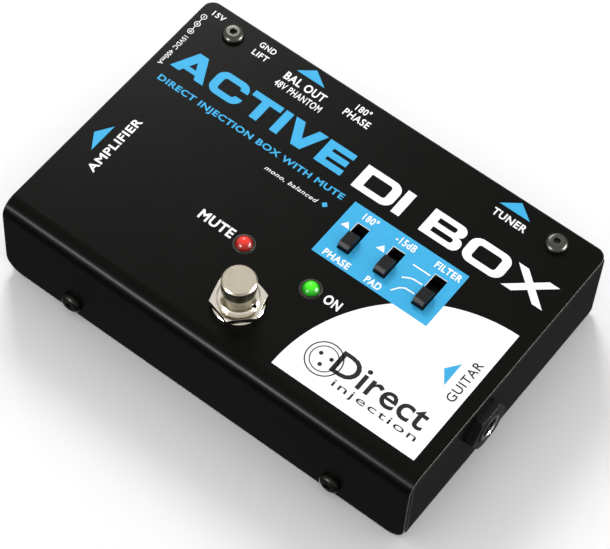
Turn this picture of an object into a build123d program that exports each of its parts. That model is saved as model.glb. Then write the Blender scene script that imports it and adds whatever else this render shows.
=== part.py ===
"""Direct injection box: a bent steel case with a footswitch, slide switches and audio sockets.

Millimetres. The box is laid out with x from its left end, y from its front wall and z from the
surface it stands on, and every piece is moved to the shared origin, under the middle, on export.
"""

import math
import os

from build123d import *

# Case: overall sizes and sheet
LENGTH = 139.7
WIDTH = 92.6
HEIGHT = 31.0
COVER_SHEET = 1.9
CHASSIS_SHEET = 1.5
BEND_RADIUS = 5.0
FRONT_CORNER_RADIUS = 5.5
REAR_CORNER_RADIUS = 3.4
END_SETBACK = 0.7
PANEL_RECESS = 9.5
FRONT_FLANGE_HEIGHT = 10.5
PAD_THICKNESS = 1.3
PAD_MARGIN = 4.0
FOOT_GAP = 0.5
SEAM = 0.1
HOLE_CLEARANCE = 0.15
THREAD_CLEARANCE = 0.02
PRESS_CLEARANCE = 0.01
MOULDED_EDGE = 0.8
SKIRT_CORNER = 1.5
CUT_PAST = 1.0

# Case fasteners
SCREW_SHANK_RADIUS = 1.75
SCREW_HEAD_RADIUS = 3.3
SCREW_HEAD_HEIGHT = 1.9
SCREW_SOCKET_FLATS = 2.0
SCREW_LENGTH = 6.0
HEAD_DOME_SHARE = 0.8
SOCKET_DEPTH_SHARE = 0.65
CROWN_SHARE = 0.62
CROWN_SLOPE = 0.6
COVER_SCREW_INSET = 13.2
COVER_SCREW_FROM_REAR = 6.4
FRONT_SCREW_SPACING = 90.8
CLINCH_NUT_RADIUS = 2.6
CLINCH_NUT_HEIGHT = 2.4
RIVET_RADIUS = 1.6
RIVET_HEAD_RADIUS = 2.8
RIVET_HEAD_HEIGHT = 0.9
RIVET_SPACING = 46.0

# Footswitch
SWITCH_Y = 16.4
BUSH_RADIUS = 6.0
BUSH_BORE_RADIUS = 3.75
BUSH_ABOVE_TOP = 4.0
BUSH_CHAMFER = 0.5
BUSH_KEYWAY_WIDTH = 1.3
BUSH_KEYWAY_DEPTH = 1.2
PLUNGER_CLEARANCE = 0.05
CAP_RADIUS = 4.95
CAP_HEIGHT = 4.2
CAP_CHAMFER = 0.45
PLUNGER_TRAVEL = 3.0
PLUNGER_STOP_GAP = 0.8
NUT_WALL = 1.0
NUT_HEIGHT = 2.0
NUT_TURN = 45.0
WASHER_RIM = 1.4
WASHER_THICKNESS = 0.8
WASHER_CHAMFER = 0.2
YOKE_SHEET = 0.8
YOKE_LEG = 8.0
SWITCH_BODY_SIDE = 17.0
SWITCH_BODY_HEIGHT = 11.0
SWITCH_WELL_CLEARANCE = 0.55
SWITCH_FLOOR = 1.0
SPRING_RADIUS = 2.6
SPRING_WIRE = 0.35
SPRING_TURNS = 6
SPRING_HEIGHT = 8.2
SPRING_END_GAP = 0.1
LUG_PITCH = 5.3
LUG_LENGTH = 3.4
LUG_WIDTH = 1.8
LUG_THICKNESS = 0.7
WIRE_RADIUS = 0.65
WIRE_BEND = 1.9
WIRE_DROP = 3.2
WIRE_FALL = 1.0
WIRE_PAST_BOARD_EDGE = 2.6

# Lamps
LAMP_RADIUS = 2.5
LAMP_OFFSETS = (-10.35, 12.65)
LAMP_Y = 32.2
LAMP_ABOVE_TOP = 2.1
LAMP_BELOW_TOP_SHEET = 1.4
LAMP_FLANGE_RIM = 0.4
LAMP_FLANGE_THICKNESS = 0.9
BEZEL_WALL = 0.45
BEZEL_CLEARANCE = 0.05
BEZEL_LIP = 0.3
BEZEL_BELOW_TOP_SHEET = 0.4
LEAD_RADIUS = 0.25
LEAD_PITCH = 2.54

# Slide switches in the top: distance of the slot from the right end, and the knob's travel
TOP_SWITCHES = {
    "phase": (57.95, 4.0),
    "pad": (45.7, 4.0),
    "filter": (31.5, 5.6),
}
SLOT_REAR_EDGE = 57.3
SLOT_SIDE_GAP = 0.35
SLOT_END_GAP = 0.25
KNOB_WIDTH = 3.4
KNOB_LENGTH = 5.6
KNOB_ABOVE_TOP = 2.6
KNOB_SLOPE = 0.9
KNOB_GROOVES = 4
KNOB_GROOVE_DEPTH = 0.35
KNOB_GROOVE_SHARE = 0.42
SLIDER_LIP = 0.9
SLIDER_THICKNESS = 1.4
CAN_SHEET = 0.6
SLIDER_SIDE_GAP = 0.5
CAN_END = 2.4
CAN_HEIGHT = 6.4
RUN_GAP = 0.15

# Slide switches in the rear panel: slot centre along x
REAR_SWITCHES = {"ground": 21.7, "rear_phase": 58.6}
REAR_KNOB_HEIGHT = 3.4
REAR_KNOB_LENGTH = 3.6
REAR_KNOB_TRAVEL = 3.6
REAR_KNOB_OUT = 2.0
REAR_KNOB_SLOPE = 0.5
REAR_SWITCH_Z = 10.6
REAR_CAN_HEIGHT = 7.4
REAR_CAN_END = 0.9
REAR_CAN_DEPTH = 6.0

# Sockets
SOCKET_Z = 17.0
END_JACK_Y = 35.0
TUNER_JACK_FROM_RIGHT = 28.2
JACK_BORE_RADIUS = 3.25
JACK_BORE_RELIEF = 0.35
FERRULE_WALL = 0.75
FERRULE_LENGTH = 9.0
FERRULE_CHAMFER = 0.3
JACK_NOSE_WALL = 0.9
JACK_NUT_WALL = 2.1
JACK_NUT_HEIGHT = 2.9
JACK_NUT_TURN = 30.0
JACK_NOSE_PAST_NUT = 0.25
JACK_BODY_WIDTH = 16.0
JACK_BODY_HEIGHT_ABOVE_AXIS = 8.0
JACK_BODY_DEPTH = 21.0
CONTACT_WIDTH = 2.6
CONTACT_SHEET = 0.5
CONTACT_GAP = 0.4
CONTACT_ROOM_REACH = 2.9
CONTACT_ROOM_SIDE_GAP = 0.2
CONTACT_STOP = 7.0
XLR_X = 40.0
XLR_SHELL_WALL = 1.4
XLR_CAVITY_RADIUS = 9.4
XLR_CAVITY_DEPTH = 14.0
XLR_RIM_OUT = 1.0
XLR_BODY_SIDE = 2.2
XLR_BODY_CROWN = 0.1
XLR_BODY_CORNER = 1.2
XLR_RIM_RADIUS = 0.5
XLR_BODY_DEPTH = 20.0
XLR_PIN_RADIUS = 1.19
XLR_PIN_CIRCLE = 4.1
XLR_PIN_LENGTH = 10.4
PIN_DOME_SHARE = 0.75
XLR_INSERT_THICKNESS = 4.0
XLR_SCREW_SHANK_RADIUS = 1.25
XLR_SCREW_HEAD_RADIUS = 2.2
XLR_SCREW_HEAD_HEIGHT = 1.3
XLR_SCREW_LENGTH = 8.0
XLR_SCREW_SOCKET_FLATS = 1.5
XLR_SCREW_PAST_SHELL = 0.2
XLR_SCREW_FROM_FLANGE = 0.1
POWER_X = 10.0
POWER_Z = 12.4
POWER_BODY_WIDTH = 9.0
POWER_BODY_HEIGHT = 11.0
POWER_BODY_DEPTH = 14.0
POWER_MOUTH_RADIUS = 3.1
POWER_NOSE_RADIUS = 4.0
POWER_NOSE_OUT = 0.4
POWER_MOUTH_DEPTH = 9.5
POWER_PIN_RADIUS = 1.05
POWER_PIN_BEHIND_MOUTH = 1.5

# Boards and what stands on them
BOARD_THICKNESS = 1.6
BOARD_LIFT = 1.2
BOARD_FRONT = 26.6
BOARD_END_GAP = 2.2
STANDOFF_RADIUS = 2.6
STANDOFF_INSET = 3.6
STANDOFF_FROM_FRONT = 25.0
STANDOFF_FROM_REAR = 12.0
STANDOFF_FROM_XLR = 8.0
BOARD_SCREW_RADIUS = 1.2
BOARD_SCREW_HEAD_RADIUS = 2.3
BOARD_SCREW_HEAD_HEIGHT = 1.4
CONTROL_BOARD_DROP = 7.2
CONTROL_BOARD_MARGIN = 5.0
CONTROL_BOARD_EDGE = 0.5
PILLAR_RADIUS = 2.2
PILLAR_EDGE = 0.8
PILLAR_STEP = 6.0
HEADER_PINS = 6
HEADER_PITCH = 2.54
HEADER_FROM_EDGE = 2.6
HEADER_WIDTH = 2.5
TRANSFORMER_WIDTH = 21.0
TRANSFORMER_DEPTH = 16.0
TRANSFORMER_HEIGHT = 18.0
TRANSFORMER_FROM_SWITCH = 10.4
TRANSFORMER_FROM_PANEL = 1.5
CORE_YOKE = 3.2
CORE_LIMB = 6.0
COIL_GAP = 0.1
COIL_PROUD = 3.0
COIL_FROM_PANEL = 0.3
COIL_CORNER = 0.9
CAPACITOR_RADIUS = 3.15
CAPACITOR_HEIGHT = 11.0
CAPACITOR_EDGE = 0.5
CAPACITOR_PITCH = 8.0
CAPACITOR_COUNT = 4
CAPACITOR_LEFT = 28.0
CAPACITOR_Y = 48.0
CHIP_SIZE = (9.6, 6.4, 3.3)
CHIP_EDGE = 0.4
CHIP_PITCH = 14.0
CHIP_COUNT = 3
CHIP_Y = 42.0
RESISTOR_RADIUS = 1.15
RESISTOR_LENGTH = 6.2
RESISTOR_EDGE = 0.3
RESISTOR_PITCH = 3.6
RESISTOR_COUNT = 9
RESISTOR_Y = 53.0

# Levels and faces worked out from the sizes above
TOP_INSIDE = HEIGHT - COVER_SHEET
FRONT_INSIDE = COVER_SHEET
PLATE_BOTTOM = PAD_THICKNESS
PLATE_TOP = PLATE_BOTTOM + CHASSIS_SHEET
CHASSIS_TOP = TOP_INSIDE - SEAM
CHASSIS_REAR_CORNER = 0.6 * REAR_CORNER_RADIUS
FOLD_RADIUS = 1.1 * CHASSIS_SHEET
CHANNEL_FOLD_RADIUS = 0.9 * CHASSIS_SHEET
CHASSIS_FRONT = FRONT_INSIDE + SEAM
CHASSIS_REAR = WIDTH - SEAM
END_OUTER = END_SETBACK
END_INNER = END_OUTER + CHASSIS_SHEET
PANEL_OUTER = WIDTH - PANEL_RECESS
PANEL_INNER = PANEL_OUTER - CHASSIS_SHEET
FLANGE_TOP = CHASSIS_TOP
FLANGE_BOTTOM = FLANGE_TOP - CHASSIS_SHEET
COVER_SCREW_Y = WIDTH - COVER_SCREW_FROM_REAR
COVER_SCREW_X = (COVER_SCREW_INSET, LENGTH - COVER_SCREW_INSET)
FRONT_SCREW_HEIGHT = PLATE_TOP + CLINCH_NUT_RADIUS + SEAM
FRONT_SCREW_X = (LENGTH / 2 - FRONT_SCREW_SPACING / 2, LENGTH / 2 + FRONT_SCREW_SPACING / 2)
RIVET_Y = (PANEL_OUTER + CHASSIS_REAR) / 2
RIVET_X = (LENGTH / 2 - RIVET_SPACING, LENGTH / 2, LENGTH / 2 + RIVET_SPACING)
SWITCH_X = LENGTH / 2
SWITCH_WELL_RADIUS = BUSH_BORE_RADIUS + SWITCH_WELL_CLEARANCE
NUT_FLATS = 2 * (BUSH_RADIUS + NUT_WALL)
CAP_TOP = HEIGHT + BUSH_ABOVE_TOP + PLUNGER_TRAVEL + PLUNGER_STOP_GAP + CAP_HEIGHT
BEZEL_RADIUS = LAMP_RADIUS + BEZEL_CLEARANCE + BEZEL_WALL
SLOT_WIDTH = KNOB_WIDTH + 2 * SLOT_SIDE_GAP
REAR_SLOT_HEIGHT = REAR_KNOB_HEIGHT + 2 * SLOT_SIDE_GAP
CAN_WIDTH = KNOB_WIDTH + 2 * (SLIDER_LIP + SLIDER_SIDE_GAP + CAN_SHEET)
FERRULE_RADIUS = JACK_BORE_RADIUS + FERRULE_WALL
JACK_THREAD_RADIUS = FERRULE_RADIUS + JACK_NOSE_WALL
JACK_NUT_FLATS = 2 * (JACK_THREAD_RADIUS + JACK_NUT_WALL)
XLR_SHELL_RADIUS = XLR_CAVITY_RADIUS + XLR_SHELL_WALL
XLR_BODY_HALF_WIDTH = XLR_SHELL_RADIUS + XLR_BODY_SIDE
XLR_SCREW_DX = XLR_SHELL_RADIUS + XLR_SCREW_PAST_SHELL
XLR_SCREW_DZ = FLANGE_BOTTOM - SOCKET_Z - XLR_SCREW_HEAD_RADIUS - XLR_SCREW_FROM_FLANGE
LAMP_X = [SWITCH_X + offset for offset in LAMP_OFFSETS]
TOP_SWITCH_X = {name: LENGTH - from_right for name, (from_right, travel) in TOP_SWITCHES.items()}
TOP_SWITCH_TRAVEL = {name: travel for name, (from_right, travel) in TOP_SWITCHES.items()}
TUNER_JACK_X = LENGTH - TUNER_JACK_FROM_RIGHT
XLR_MOUTH = PANEL_OUTER + XLR_RIM_OUT
XLR_INSERT_FRONT = XLR_MOUTH - XLR_CAVITY_DEPTH
XLR_INSERT_BACK = XLR_INSERT_FRONT - XLR_INSERT_THICKNESS
POWER_MOUTH = PANEL_OUTER + POWER_NOSE_OUT
POWER_MOUTH_FLOOR = POWER_MOUTH - POWER_MOUTH_DEPTH
CONNECTOR_BACK = PANEL_INNER - SEAM
BOARD_BOTTOM = PLATE_TOP + BOARD_LIFT
BOARD_TOP = BOARD_BOTTOM + BOARD_THICKNESS
BOARD_REAR = CONNECTOR_BACK
CONTROL_TOP = TOP_INSIDE - CONTROL_BOARD_DROP
CONTROL_BOTTOM = CONTROL_TOP - BOARD_THICKNESS
CONTROL_LEFT = LAMP_X[0] - CONTROL_BOARD_MARGIN
CONTROL_RIGHT = TOP_SWITCH_X["filter"] + CAN_WIDTH / 2 + CONTROL_BOARD_EDGE
CONTROL_FRONT = LAMP_Y - CONTROL_BOARD_MARGIN
CONTROL_REAR = SLOT_REAR_EDGE + CAN_END + CONTROL_BOARD_EDGE
TRANSFORMER_LEFT = REAR_SWITCHES["rear_phase"] + TRANSFORMER_FROM_SWITCH
TRANSFORMER_X = (TRANSFORMER_LEFT, TRANSFORMER_LEFT + TRANSFORMER_WIDTH)
TRANSFORMER_REAR = BOARD_REAR - TRANSFORMER_FROM_PANEL
TRANSFORMER_Y = (TRANSFORMER_REAR - TRANSFORMER_DEPTH, TRANSFORMER_REAR)
YOKE_TOP = TOP_INSIDE - NUT_HEIGHT - 2 * SEAM
YOKE_BOTTOM = YOKE_TOP - YOKE_SHEET
BODY_BOTTOM = YOKE_BOTTOM - SWITCH_BODY_HEIGHT
CAVITY_FLOOR = BODY_BOTTOM + SWITCH_FLOOR
PLUNGER_BOTTOM = CAVITY_FLOOR + SPRING_HEIGHT
PLUNGER_RADIUS = BUSH_BORE_RADIUS - PLUNGER_CLEARANCE
FRONT_SCREW_FACE = -SCREW_HEAD_HEIGHT
SHIFT = Location((-LENGTH / 2, -(WIDTH + FRONT_SCREW_FACE) / 2, 0))


def block(x_span, y_span, z_span):
    """Box between two x values, two y values and two z values."""
    size = [span[1] - span[0] for span in (x_span, y_span, z_span)]
    middle = [(span[0] + span[1]) / 2 for span in (x_span, y_span, z_span)]
    return Pos(*middle) * Box(*size)


def rod_x(radius, x_span, y, z):
    """Cylinder along x."""
    length = x_span[1] - x_span[0]
    return Pos((x_span[0] + x_span[1]) / 2, y, z) * Rot(0, 90, 0) * Cylinder(radius, length)


def rod_y(radius, y_span, x, z):
    """Cylinder along y."""
    length = y_span[1] - y_span[0]
    return Pos(x, (y_span[0] + y_span[1]) / 2, z) * Rot(90, 0, 0) * Cylinder(radius, length)


def rod_z(radius, z_span, x, y):
    """Cylinder along z."""
    length = z_span[1] - z_span[0]
    return Pos(x, y, (z_span[0] + z_span[1]) / 2) * Cylinder(radius, length)


def hex_prism(flats, height, turn=0.0):
    """Hexagonal prism standing on z = 0, its corners chamfered by the usual washer face."""
    radius = flats / math.sqrt(3)
    prism = extrude(Rot(0, 0, turn) * RegularPolygon(radius, 6), height)
    rim = CROWN_SHARE * (radius - flats / 2)
    crown = Pos(0, 0, height / 2) * Cylinder(radius, height)
    crown = chamfer(crown.edges(), CROWN_SLOPE * rim, rim)
    return prism & crown


def button_screw(shank_radius, head_radius, head_height, length, socket_flats):
    """Button-head screw: the head's seat is on z = 0 and the shank points down."""
    head = Pos(0, 0, head_height / 2) * Cylinder(head_radius, head_height)
    head = fillet(head.edges().group_by(Axis.Z)[-1], HEAD_DOME_SHARE * head_height)
    shank = Pos(0, 0, -length / 2) * Cylinder(shank_radius, length)
    socket_depth = SOCKET_DEPTH_SHARE * head_height
    socket = extrude(RegularPolygon(socket_flats / math.sqrt(3), 6), socket_depth)
    return head + shank - Pos(0, 0, head_height - socket_depth) * socket


def clinch_nut():
    """Clinch nut below z = 0, bored for the case screws."""
    outside = Pos(0, 0, -CLINCH_NUT_HEIGHT / 2) * Cylinder(CLINCH_NUT_RADIUS, CLINCH_NUT_HEIGHT)
    return outside - Cylinder(SCREW_SHANK_RADIUS + THREAD_CLEARANCE, 4 * CLINCH_NUT_HEIGHT)


def group(pieces):
    """Separate solids kept together in one node."""
    return Compound(children=list(pieces))


def slot_y_span(travel):
    """Front and rear edges of a top slot for a knob with this travel."""
    length = KNOB_LENGTH + travel + 2 * SLOT_END_GAP
    return (SLOT_REAR_EDGE - length, SLOT_REAR_EDGE)


def top_cover():
    """Flat top and front wall, joined by one bend, with its holes and slots."""
    outside = block((0, LENGTH), (0, WIDTH), (FOOT_GAP, HEIGHT))
    front_top = outside.edges().filter_by(Axis.X).sort_by(Axis.Z)[-2:].sort_by(Axis.Y)[0]
    outside = fillet(front_top, BEND_RADIUS)
    inside = block((-CUT_PAST, LENGTH + CUT_PAST), (FRONT_INSIDE, 2 * WIDTH), (-HEIGHT, TOP_INSIDE))
    inner_edge = inside.edges().filter_by(Axis.X).sort_by(Axis.Z)[-2:].sort_by(Axis.Y)[0]
    inside = fillet(inner_edge, BEND_RADIUS - COVER_SHEET)
    cover = outside - inside
    low_corners = cover.edges().filter_by(Axis.Y).group_by(Axis.Z)[0]
    cover = fillet(low_corners, FRONT_CORNER_RADIUS)
    rear_corners = cover.edges().filter_by(Axis.Z).group_by(Axis.Y)[-1]
    cover = fillet(rear_corners, REAR_CORNER_RADIUS)
    through = (TOP_INSIDE - CUT_PAST, HEIGHT + CUT_PAST)
    front_through = (-CUT_PAST, FRONT_INSIDE + CUT_PAST)
    screw_hole = SCREW_SHANK_RADIUS + HOLE_CLEARANCE
    for x in COVER_SCREW_X:
        cover -= rod_z(screw_hole, through, x, COVER_SCREW_Y)
    for x in FRONT_SCREW_X:
        cover -= rod_y(screw_hole, front_through, x, FRONT_SCREW_HEIGHT)
    for x in LAMP_X:
        cover -= rod_z(BEZEL_RADIUS + BEZEL_CLEARANCE, through, x, LAMP_Y)
    cover -= rod_z(BUSH_RADIUS + HOLE_CLEARANCE, through, SWITCH_X, SWITCH_Y)
    for name, x in TOP_SWITCH_X.items():
        y_span = slot_y_span(TOP_SWITCH_TRAVEL[name])
        cover -= block((x - SLOT_WIDTH / 2, x + SLOT_WIDTH / 2), y_span, through)
    return cover


def base_chassis():
    """Bottom plate with two end panels and a low front flange, bent from one sheet."""
    ends = (END_OUTER, LENGTH - END_OUTER)
    outside = block(ends, (CHASSIS_FRONT, CHASSIS_REAR), (PLATE_BOTTOM, CHASSIS_TOP))
    upper_edges = outside.edges().filter_by(Axis.X).group_by(Axis.Z)[-1]
    outside = fillet(upper_edges.sort_by(Axis.Y)[0], BEND_RADIUS)
    rear_edge = outside.edges().filter_by(Axis.X).group_by(Axis.Z)[-1].sort_by(Axis.Y)[-1]
    outside = fillet(rear_edge, CHASSIS_REAR_CORNER)
    between_ends = (END_INNER, LENGTH - END_INNER)
    room = block(between_ends, (CHASSIS_FRONT + CHASSIS_SHEET, 2 * WIDTH), (PLATE_TOP, 2 * HEIGHT))
    above_flange = block(between_ends, (0, WIDTH), (FRONT_FLANGE_HEIGHT, 2 * HEIGHT))
    chassis = outside - room - above_flange
    folds = chassis.edges().filter_by(Axis.Y).group_by(Axis.Z)[0]
    chassis = fillet(folds, FOLD_RADIUS)
    chassis += end_skirts()
    for x_span in ((0, END_INNER + CUT_PAST), (LENGTH - END_INNER - CUT_PAST, LENGTH)):
        chassis -= rod_x(JACK_THREAD_RADIUS + HOLE_CLEARANCE, x_span, END_JACK_Y, SOCKET_Z)
    through_flange = (0, CHASSIS_FRONT + CHASSIS_SHEET + CUT_PAST)
    for x in FRONT_SCREW_X:
        chassis -= rod_y(SCREW_SHANK_RADIUS + HOLE_CLEARANCE, through_flange, x, FRONT_SCREW_HEIGHT)
    through_plate = (0, PLATE_TOP + CUT_PAST)
    for x in RIVET_X:
        chassis -= rod_z(RIVET_RADIUS + THREAD_CLEARANCE, through_plate, x, RIVET_Y)
    for x, y in standoff_places():
        chassis -= rod_z(BOARD_SCREW_RADIUS + THREAD_CLEARANCE, through_plate, x, y)
    return chassis


def end_skirts():
    """Lower edges of the two end panels, which drop past the plate to the level of the cover's edge."""
    skirts = None
    for x_span in ((END_OUTER, END_INNER), (LENGTH - END_INNER, LENGTH - END_OUTER)):
        skirt = block(x_span, (CHASSIS_FRONT, CHASSIS_REAR), (FOOT_GAP, PLATE_TOP + FOLD_RADIUS))
        low = skirt.edges().filter_by(Axis.X).group_by(Axis.Z)[0]
        skirt = fillet(low, SKIRT_CORNER)
        skirts = skirt if skirts is None else skirts + skirt
    return skirts


def rear_channel():
    """Recessed connector panel with a top and a bottom flange that point to the rear."""
    across = (END_INNER + SEAM, LENGTH - END_INNER - SEAM)
    panel = block(across, (PANEL_INNER, PANEL_OUTER), (PLATE_TOP, FLANGE_TOP))
    upper = block(across, (PANEL_INNER, CHASSIS_REAR), (FLANGE_BOTTOM, FLANGE_TOP))
    lower = block(across, (PANEL_INNER, CHASSIS_REAR), (PLATE_TOP, PLATE_TOP + CHASSIS_SHEET))
    channel = panel + upper + lower
    channel = fillet(channel.edges().filter_by(Axis.X).group_by(Axis.Y)[0], CHANNEL_FOLD_RADIUS)
    through_upper = (FLANGE_BOTTOM - CUT_PAST, HEIGHT)
    for x in COVER_SCREW_X:
        channel -= rod_z(SCREW_SHANK_RADIUS + HOLE_CLEARANCE, through_upper, x, COVER_SCREW_Y)
    through_lower = (PLATE_TOP - CUT_PAST, PLATE_TOP + CHASSIS_SHEET + CUT_PAST)
    for x in RIVET_X:
        channel -= rod_z(RIVET_RADIUS + THREAD_CLEARANCE, through_lower, x, RIVET_Y)
    through = (PANEL_INNER - CUT_PAST, PANEL_OUTER + CUT_PAST)
    channel -= rod_y(XLR_SHELL_RADIUS + HOLE_CLEARANCE, through, XLR_X, SOCKET_Z)
    for x, z in xlr_screw_places():
        channel -= rod_y(XLR_SCREW_SHANK_RADIUS + HOLE_CLEARANCE, through, x, z)
    channel -= rod_y(JACK_THREAD_RADIUS + HOLE_CLEARANCE, through, TUNER_JACK_X, SOCKET_Z)
    channel -= rod_y(POWER_NOSE_RADIUS + HOLE_CLEARANCE, through, POWER_X, POWER_Z)
    half = rear_slot_length() / 2
    for x in REAR_SWITCHES.values():
        z_span = (REAR_SWITCH_Z - REAR_SLOT_HEIGHT / 2, REAR_SWITCH_Z + REAR_SLOT_HEIGHT / 2)
        channel -= block((x - half, x + half), through, z_span)
    return channel


def non_slip_pad():
    """Flat rubber pad with round corners under the bottom plate."""
    x_span = (END_INNER + PAD_MARGIN, LENGTH - END_INNER - PAD_MARGIN)
    y_span = (CHASSIS_FRONT + PAD_MARGIN, CHASSIS_REAR - PAD_MARGIN)
    pad = block(x_span, y_span, (0, PAD_THICKNESS))
    return fillet(pad.edges().filter_by(Axis.Z), PAD_MARGIN)


def case_screw():
    """One screw of the kind that holds the case together."""
    return button_screw(
        SCREW_SHANK_RADIUS, SCREW_HEAD_RADIUS, SCREW_HEAD_HEIGHT, SCREW_LENGTH, SCREW_SOCKET_FLATS
    )


def cover_screws():
    """Two screws through the rear of the top."""
    return group([Pos(x, COVER_SCREW_Y, HEIGHT) * case_screw() for x in COVER_SCREW_X])


def cover_clinch_nuts():
    """Two clinch nuts under the rear channel's top flange."""
    return group([Pos(x, COVER_SCREW_Y, FLANGE_BOTTOM) * clinch_nut() for x in COVER_SCREW_X])


def front_screws():
    """Two screws low on the front wall."""
    screw = Rot(90, 0, 0) * case_screw()
    return group([Pos(x, 0, FRONT_SCREW_HEIGHT) * screw for x in FRONT_SCREW_X])


def front_clinch_nuts():
    """Two clinch nuts behind the front flange."""
    back = CHASSIS_FRONT + CHASSIS_SHEET
    nut = Rot(90, 0, 0) * clinch_nut()
    return group([Pos(x, back, FRONT_SCREW_HEIGHT) * nut for x in FRONT_SCREW_X])


def channel_rivets():
    """Rivets through the channel's lower flange and the bottom plate, flush under the plate."""
    seat = PLATE_TOP + CHASSIS_SHEET
    rivets = []
    for x in RIVET_X:
        shank = rod_z(RIVET_RADIUS, (PLATE_BOTTOM, seat), x, RIVET_Y)
        head = rod_z(RIVET_HEAD_RADIUS, (seat, seat + RIVET_HEAD_HEIGHT), x, RIVET_Y)
        head = fillet(head.edges().group_by(Axis.Z)[-1], HEAD_DOME_SHARE * RIVET_HEAD_HEIGHT)
        rivets.append(shank + head)
    return group(rivets)


def footswitch_housing():
    """Moulded body of the footswitch, with the well that holds the spring and plunger."""
    half = SWITCH_BODY_SIDE / 2
    x_span = (SWITCH_X - half, SWITCH_X + half)
    y_span = (SWITCH_Y - half, SWITCH_Y + half)
    body = block(x_span, y_span, (BODY_BOTTOM, YOKE_BOTTOM))
    body = fillet(body.edges().filter_by(Axis.Z), MOULDED_EDGE)
    return body - rod_z(SWITCH_WELL_RADIUS, (CAVITY_FLOOR, YOKE_TOP), SWITCH_X, SWITCH_Y)


def footswitch_yoke():
    """Steel yoke folded over the footswitch body."""
    half = SWITCH_BODY_SIDE / 2
    inner = half + SEAM / 2
    outer = inner + YOKE_SHEET
    y_span = (SWITCH_Y - half, SWITCH_Y + half)
    outside = block((SWITCH_X - outer, SWITCH_X + outer), y_span, (YOKE_TOP - YOKE_LEG, YOKE_TOP))
    outside = fillet(outside.edges().filter_by(Axis.Y).group_by(Axis.Z)[-1], YOKE_SHEET)
    inside = block((SWITCH_X - inner, SWITCH_X + inner), (0, 2 * SWITCH_Y), (0, YOKE_BOTTOM))
    return outside - inside - rod_z(SWITCH_WELL_RADIUS, (0, HEIGHT), SWITCH_X, SWITCH_Y)


def footswitch_bushing():
    """Threaded bushing with a keyway; the plunger runs in its bore."""
    bush_top = HEIGHT + BUSH_ABOVE_TOP
    bush = rod_z(BUSH_RADIUS, (YOKE_TOP, bush_top), SWITCH_X, SWITCH_Y)
    bush = chamfer(bush.edges().group_by(Axis.Z)[-1], BUSH_CHAMFER)
    bush -= rod_z(BUSH_BORE_RADIUS, (0, 2 * HEIGHT), SWITCH_X, SWITCH_Y)
    half = BUSH_KEYWAY_WIDTH / 2
    x_span = (SWITCH_X + BUSH_RADIUS - BUSH_KEYWAY_DEPTH, SWITCH_X + 2 * BUSH_RADIUS)
    return bush - block(x_span, (SWITCH_Y - half, SWITCH_Y + half), (0, 2 * HEIGHT))


def bush_nut(bottom):
    """Hexagonal nut on the footswitch bushing, standing at the given level."""
    nut = Pos(SWITCH_X, SWITCH_Y, bottom) * hex_prism(NUT_FLATS, NUT_HEIGHT, NUT_TURN)
    return nut - rod_z(BUSH_RADIUS + THREAD_CLEARANCE, (0, 2 * HEIGHT), SWITCH_X, SWITCH_Y)


def footswitch_washer():
    """Flat washer between the top cover and the outer nut."""
    z_span = (HEIGHT, HEIGHT + WASHER_THICKNESS)
    washer = rod_z(BUSH_RADIUS + WASHER_RIM, z_span, SWITCH_X, SWITCH_Y)
    washer = chamfer(washer.edges().group_by(Axis.Z)[-1], WASHER_CHAMFER)
    return washer - rod_z(BUSH_RADIUS + THREAD_CLEARANCE, (0, 2 * HEIGHT), SWITCH_X, SWITCH_Y)


def footswitch_plunger():
    """Shaft and cap turned in one piece."""
    shaft = rod_z(PLUNGER_RADIUS, (PLUNGER_BOTTOM, CAP_TOP - CAP_HEIGHT / 2), SWITCH_X, SWITCH_Y)
    cap = rod_z(CAP_RADIUS, (CAP_TOP - CAP_HEIGHT, CAP_TOP), SWITCH_X, SWITCH_Y)
    cap = chamfer(cap.edges().group_by(Axis.Z)[-1], CAP_CHAMFER)
    return shaft + cap


def footswitch_spring():
    """Return spring between the housing's floor and the plunger."""
    height = SPRING_HEIGHT - 2 * (SPRING_WIRE + SPRING_END_GAP)
    path = Helix(pitch=height / SPRING_TURNS, height=height, radius=SPRING_RADIUS)
    section = Plane(origin=path @ 0, z_dir=path % 0) * Circle(SPRING_WIRE)
    coil = sweep(section, path=path)
    return Pos(SWITCH_X, SWITCH_Y, CAVITY_FLOOR + SPRING_WIRE + SPRING_END_GAP) * coil


def lug_places():
    """x and y of the nine solder lugs."""
    steps = (-LUG_PITCH, 0, LUG_PITCH)
    return [(SWITCH_X + dx, SWITCH_Y + dy) for dx in steps for dy in steps]


def footswitch_terminals():
    """Nine solder lugs under the footswitch."""
    lugs = []
    for x, y in lug_places():
        x_span = (x - LUG_WIDTH / 2, x + LUG_WIDTH / 2)
        y_span = (y - LUG_THICKNESS / 2, y + LUG_THICKNESS / 2)
        lugs.append(block(x_span, y_span, (BODY_BOTTOM - LUG_LENGTH, BODY_BOTTOM)))
    return group(lugs)


def footswitch_wires():
    """Three insulated wires from the rear row of lugs to the board's front edge."""
    start_y = SWITCH_Y + LUG_PITCH
    start_z = BODY_BOTTOM - LUG_LENGTH
    end_y = BOARD_FRONT + WIRE_PAST_BOARD_EDGE
    low_z = start_z - WIRE_DROP
    corners = [(start_y, start_z), (start_y, low_z), (end_y, low_z + WIRE_FALL), (end_y, BOARD_TOP)]
    wires = []
    for dx in (-LUG_PITCH, 0, LUG_PITCH):
        points = [(SWITCH_X + dx, y, z) for y, z in corners]
        path = FilletPolyline(*points, radius=WIRE_BEND)
        section = Plane(origin=points[0], z_dir=(0, 0, -1)) * Circle(WIRE_RADIUS)
        wires.append(sweep(section, path=path))
    return group(wires)


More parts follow.
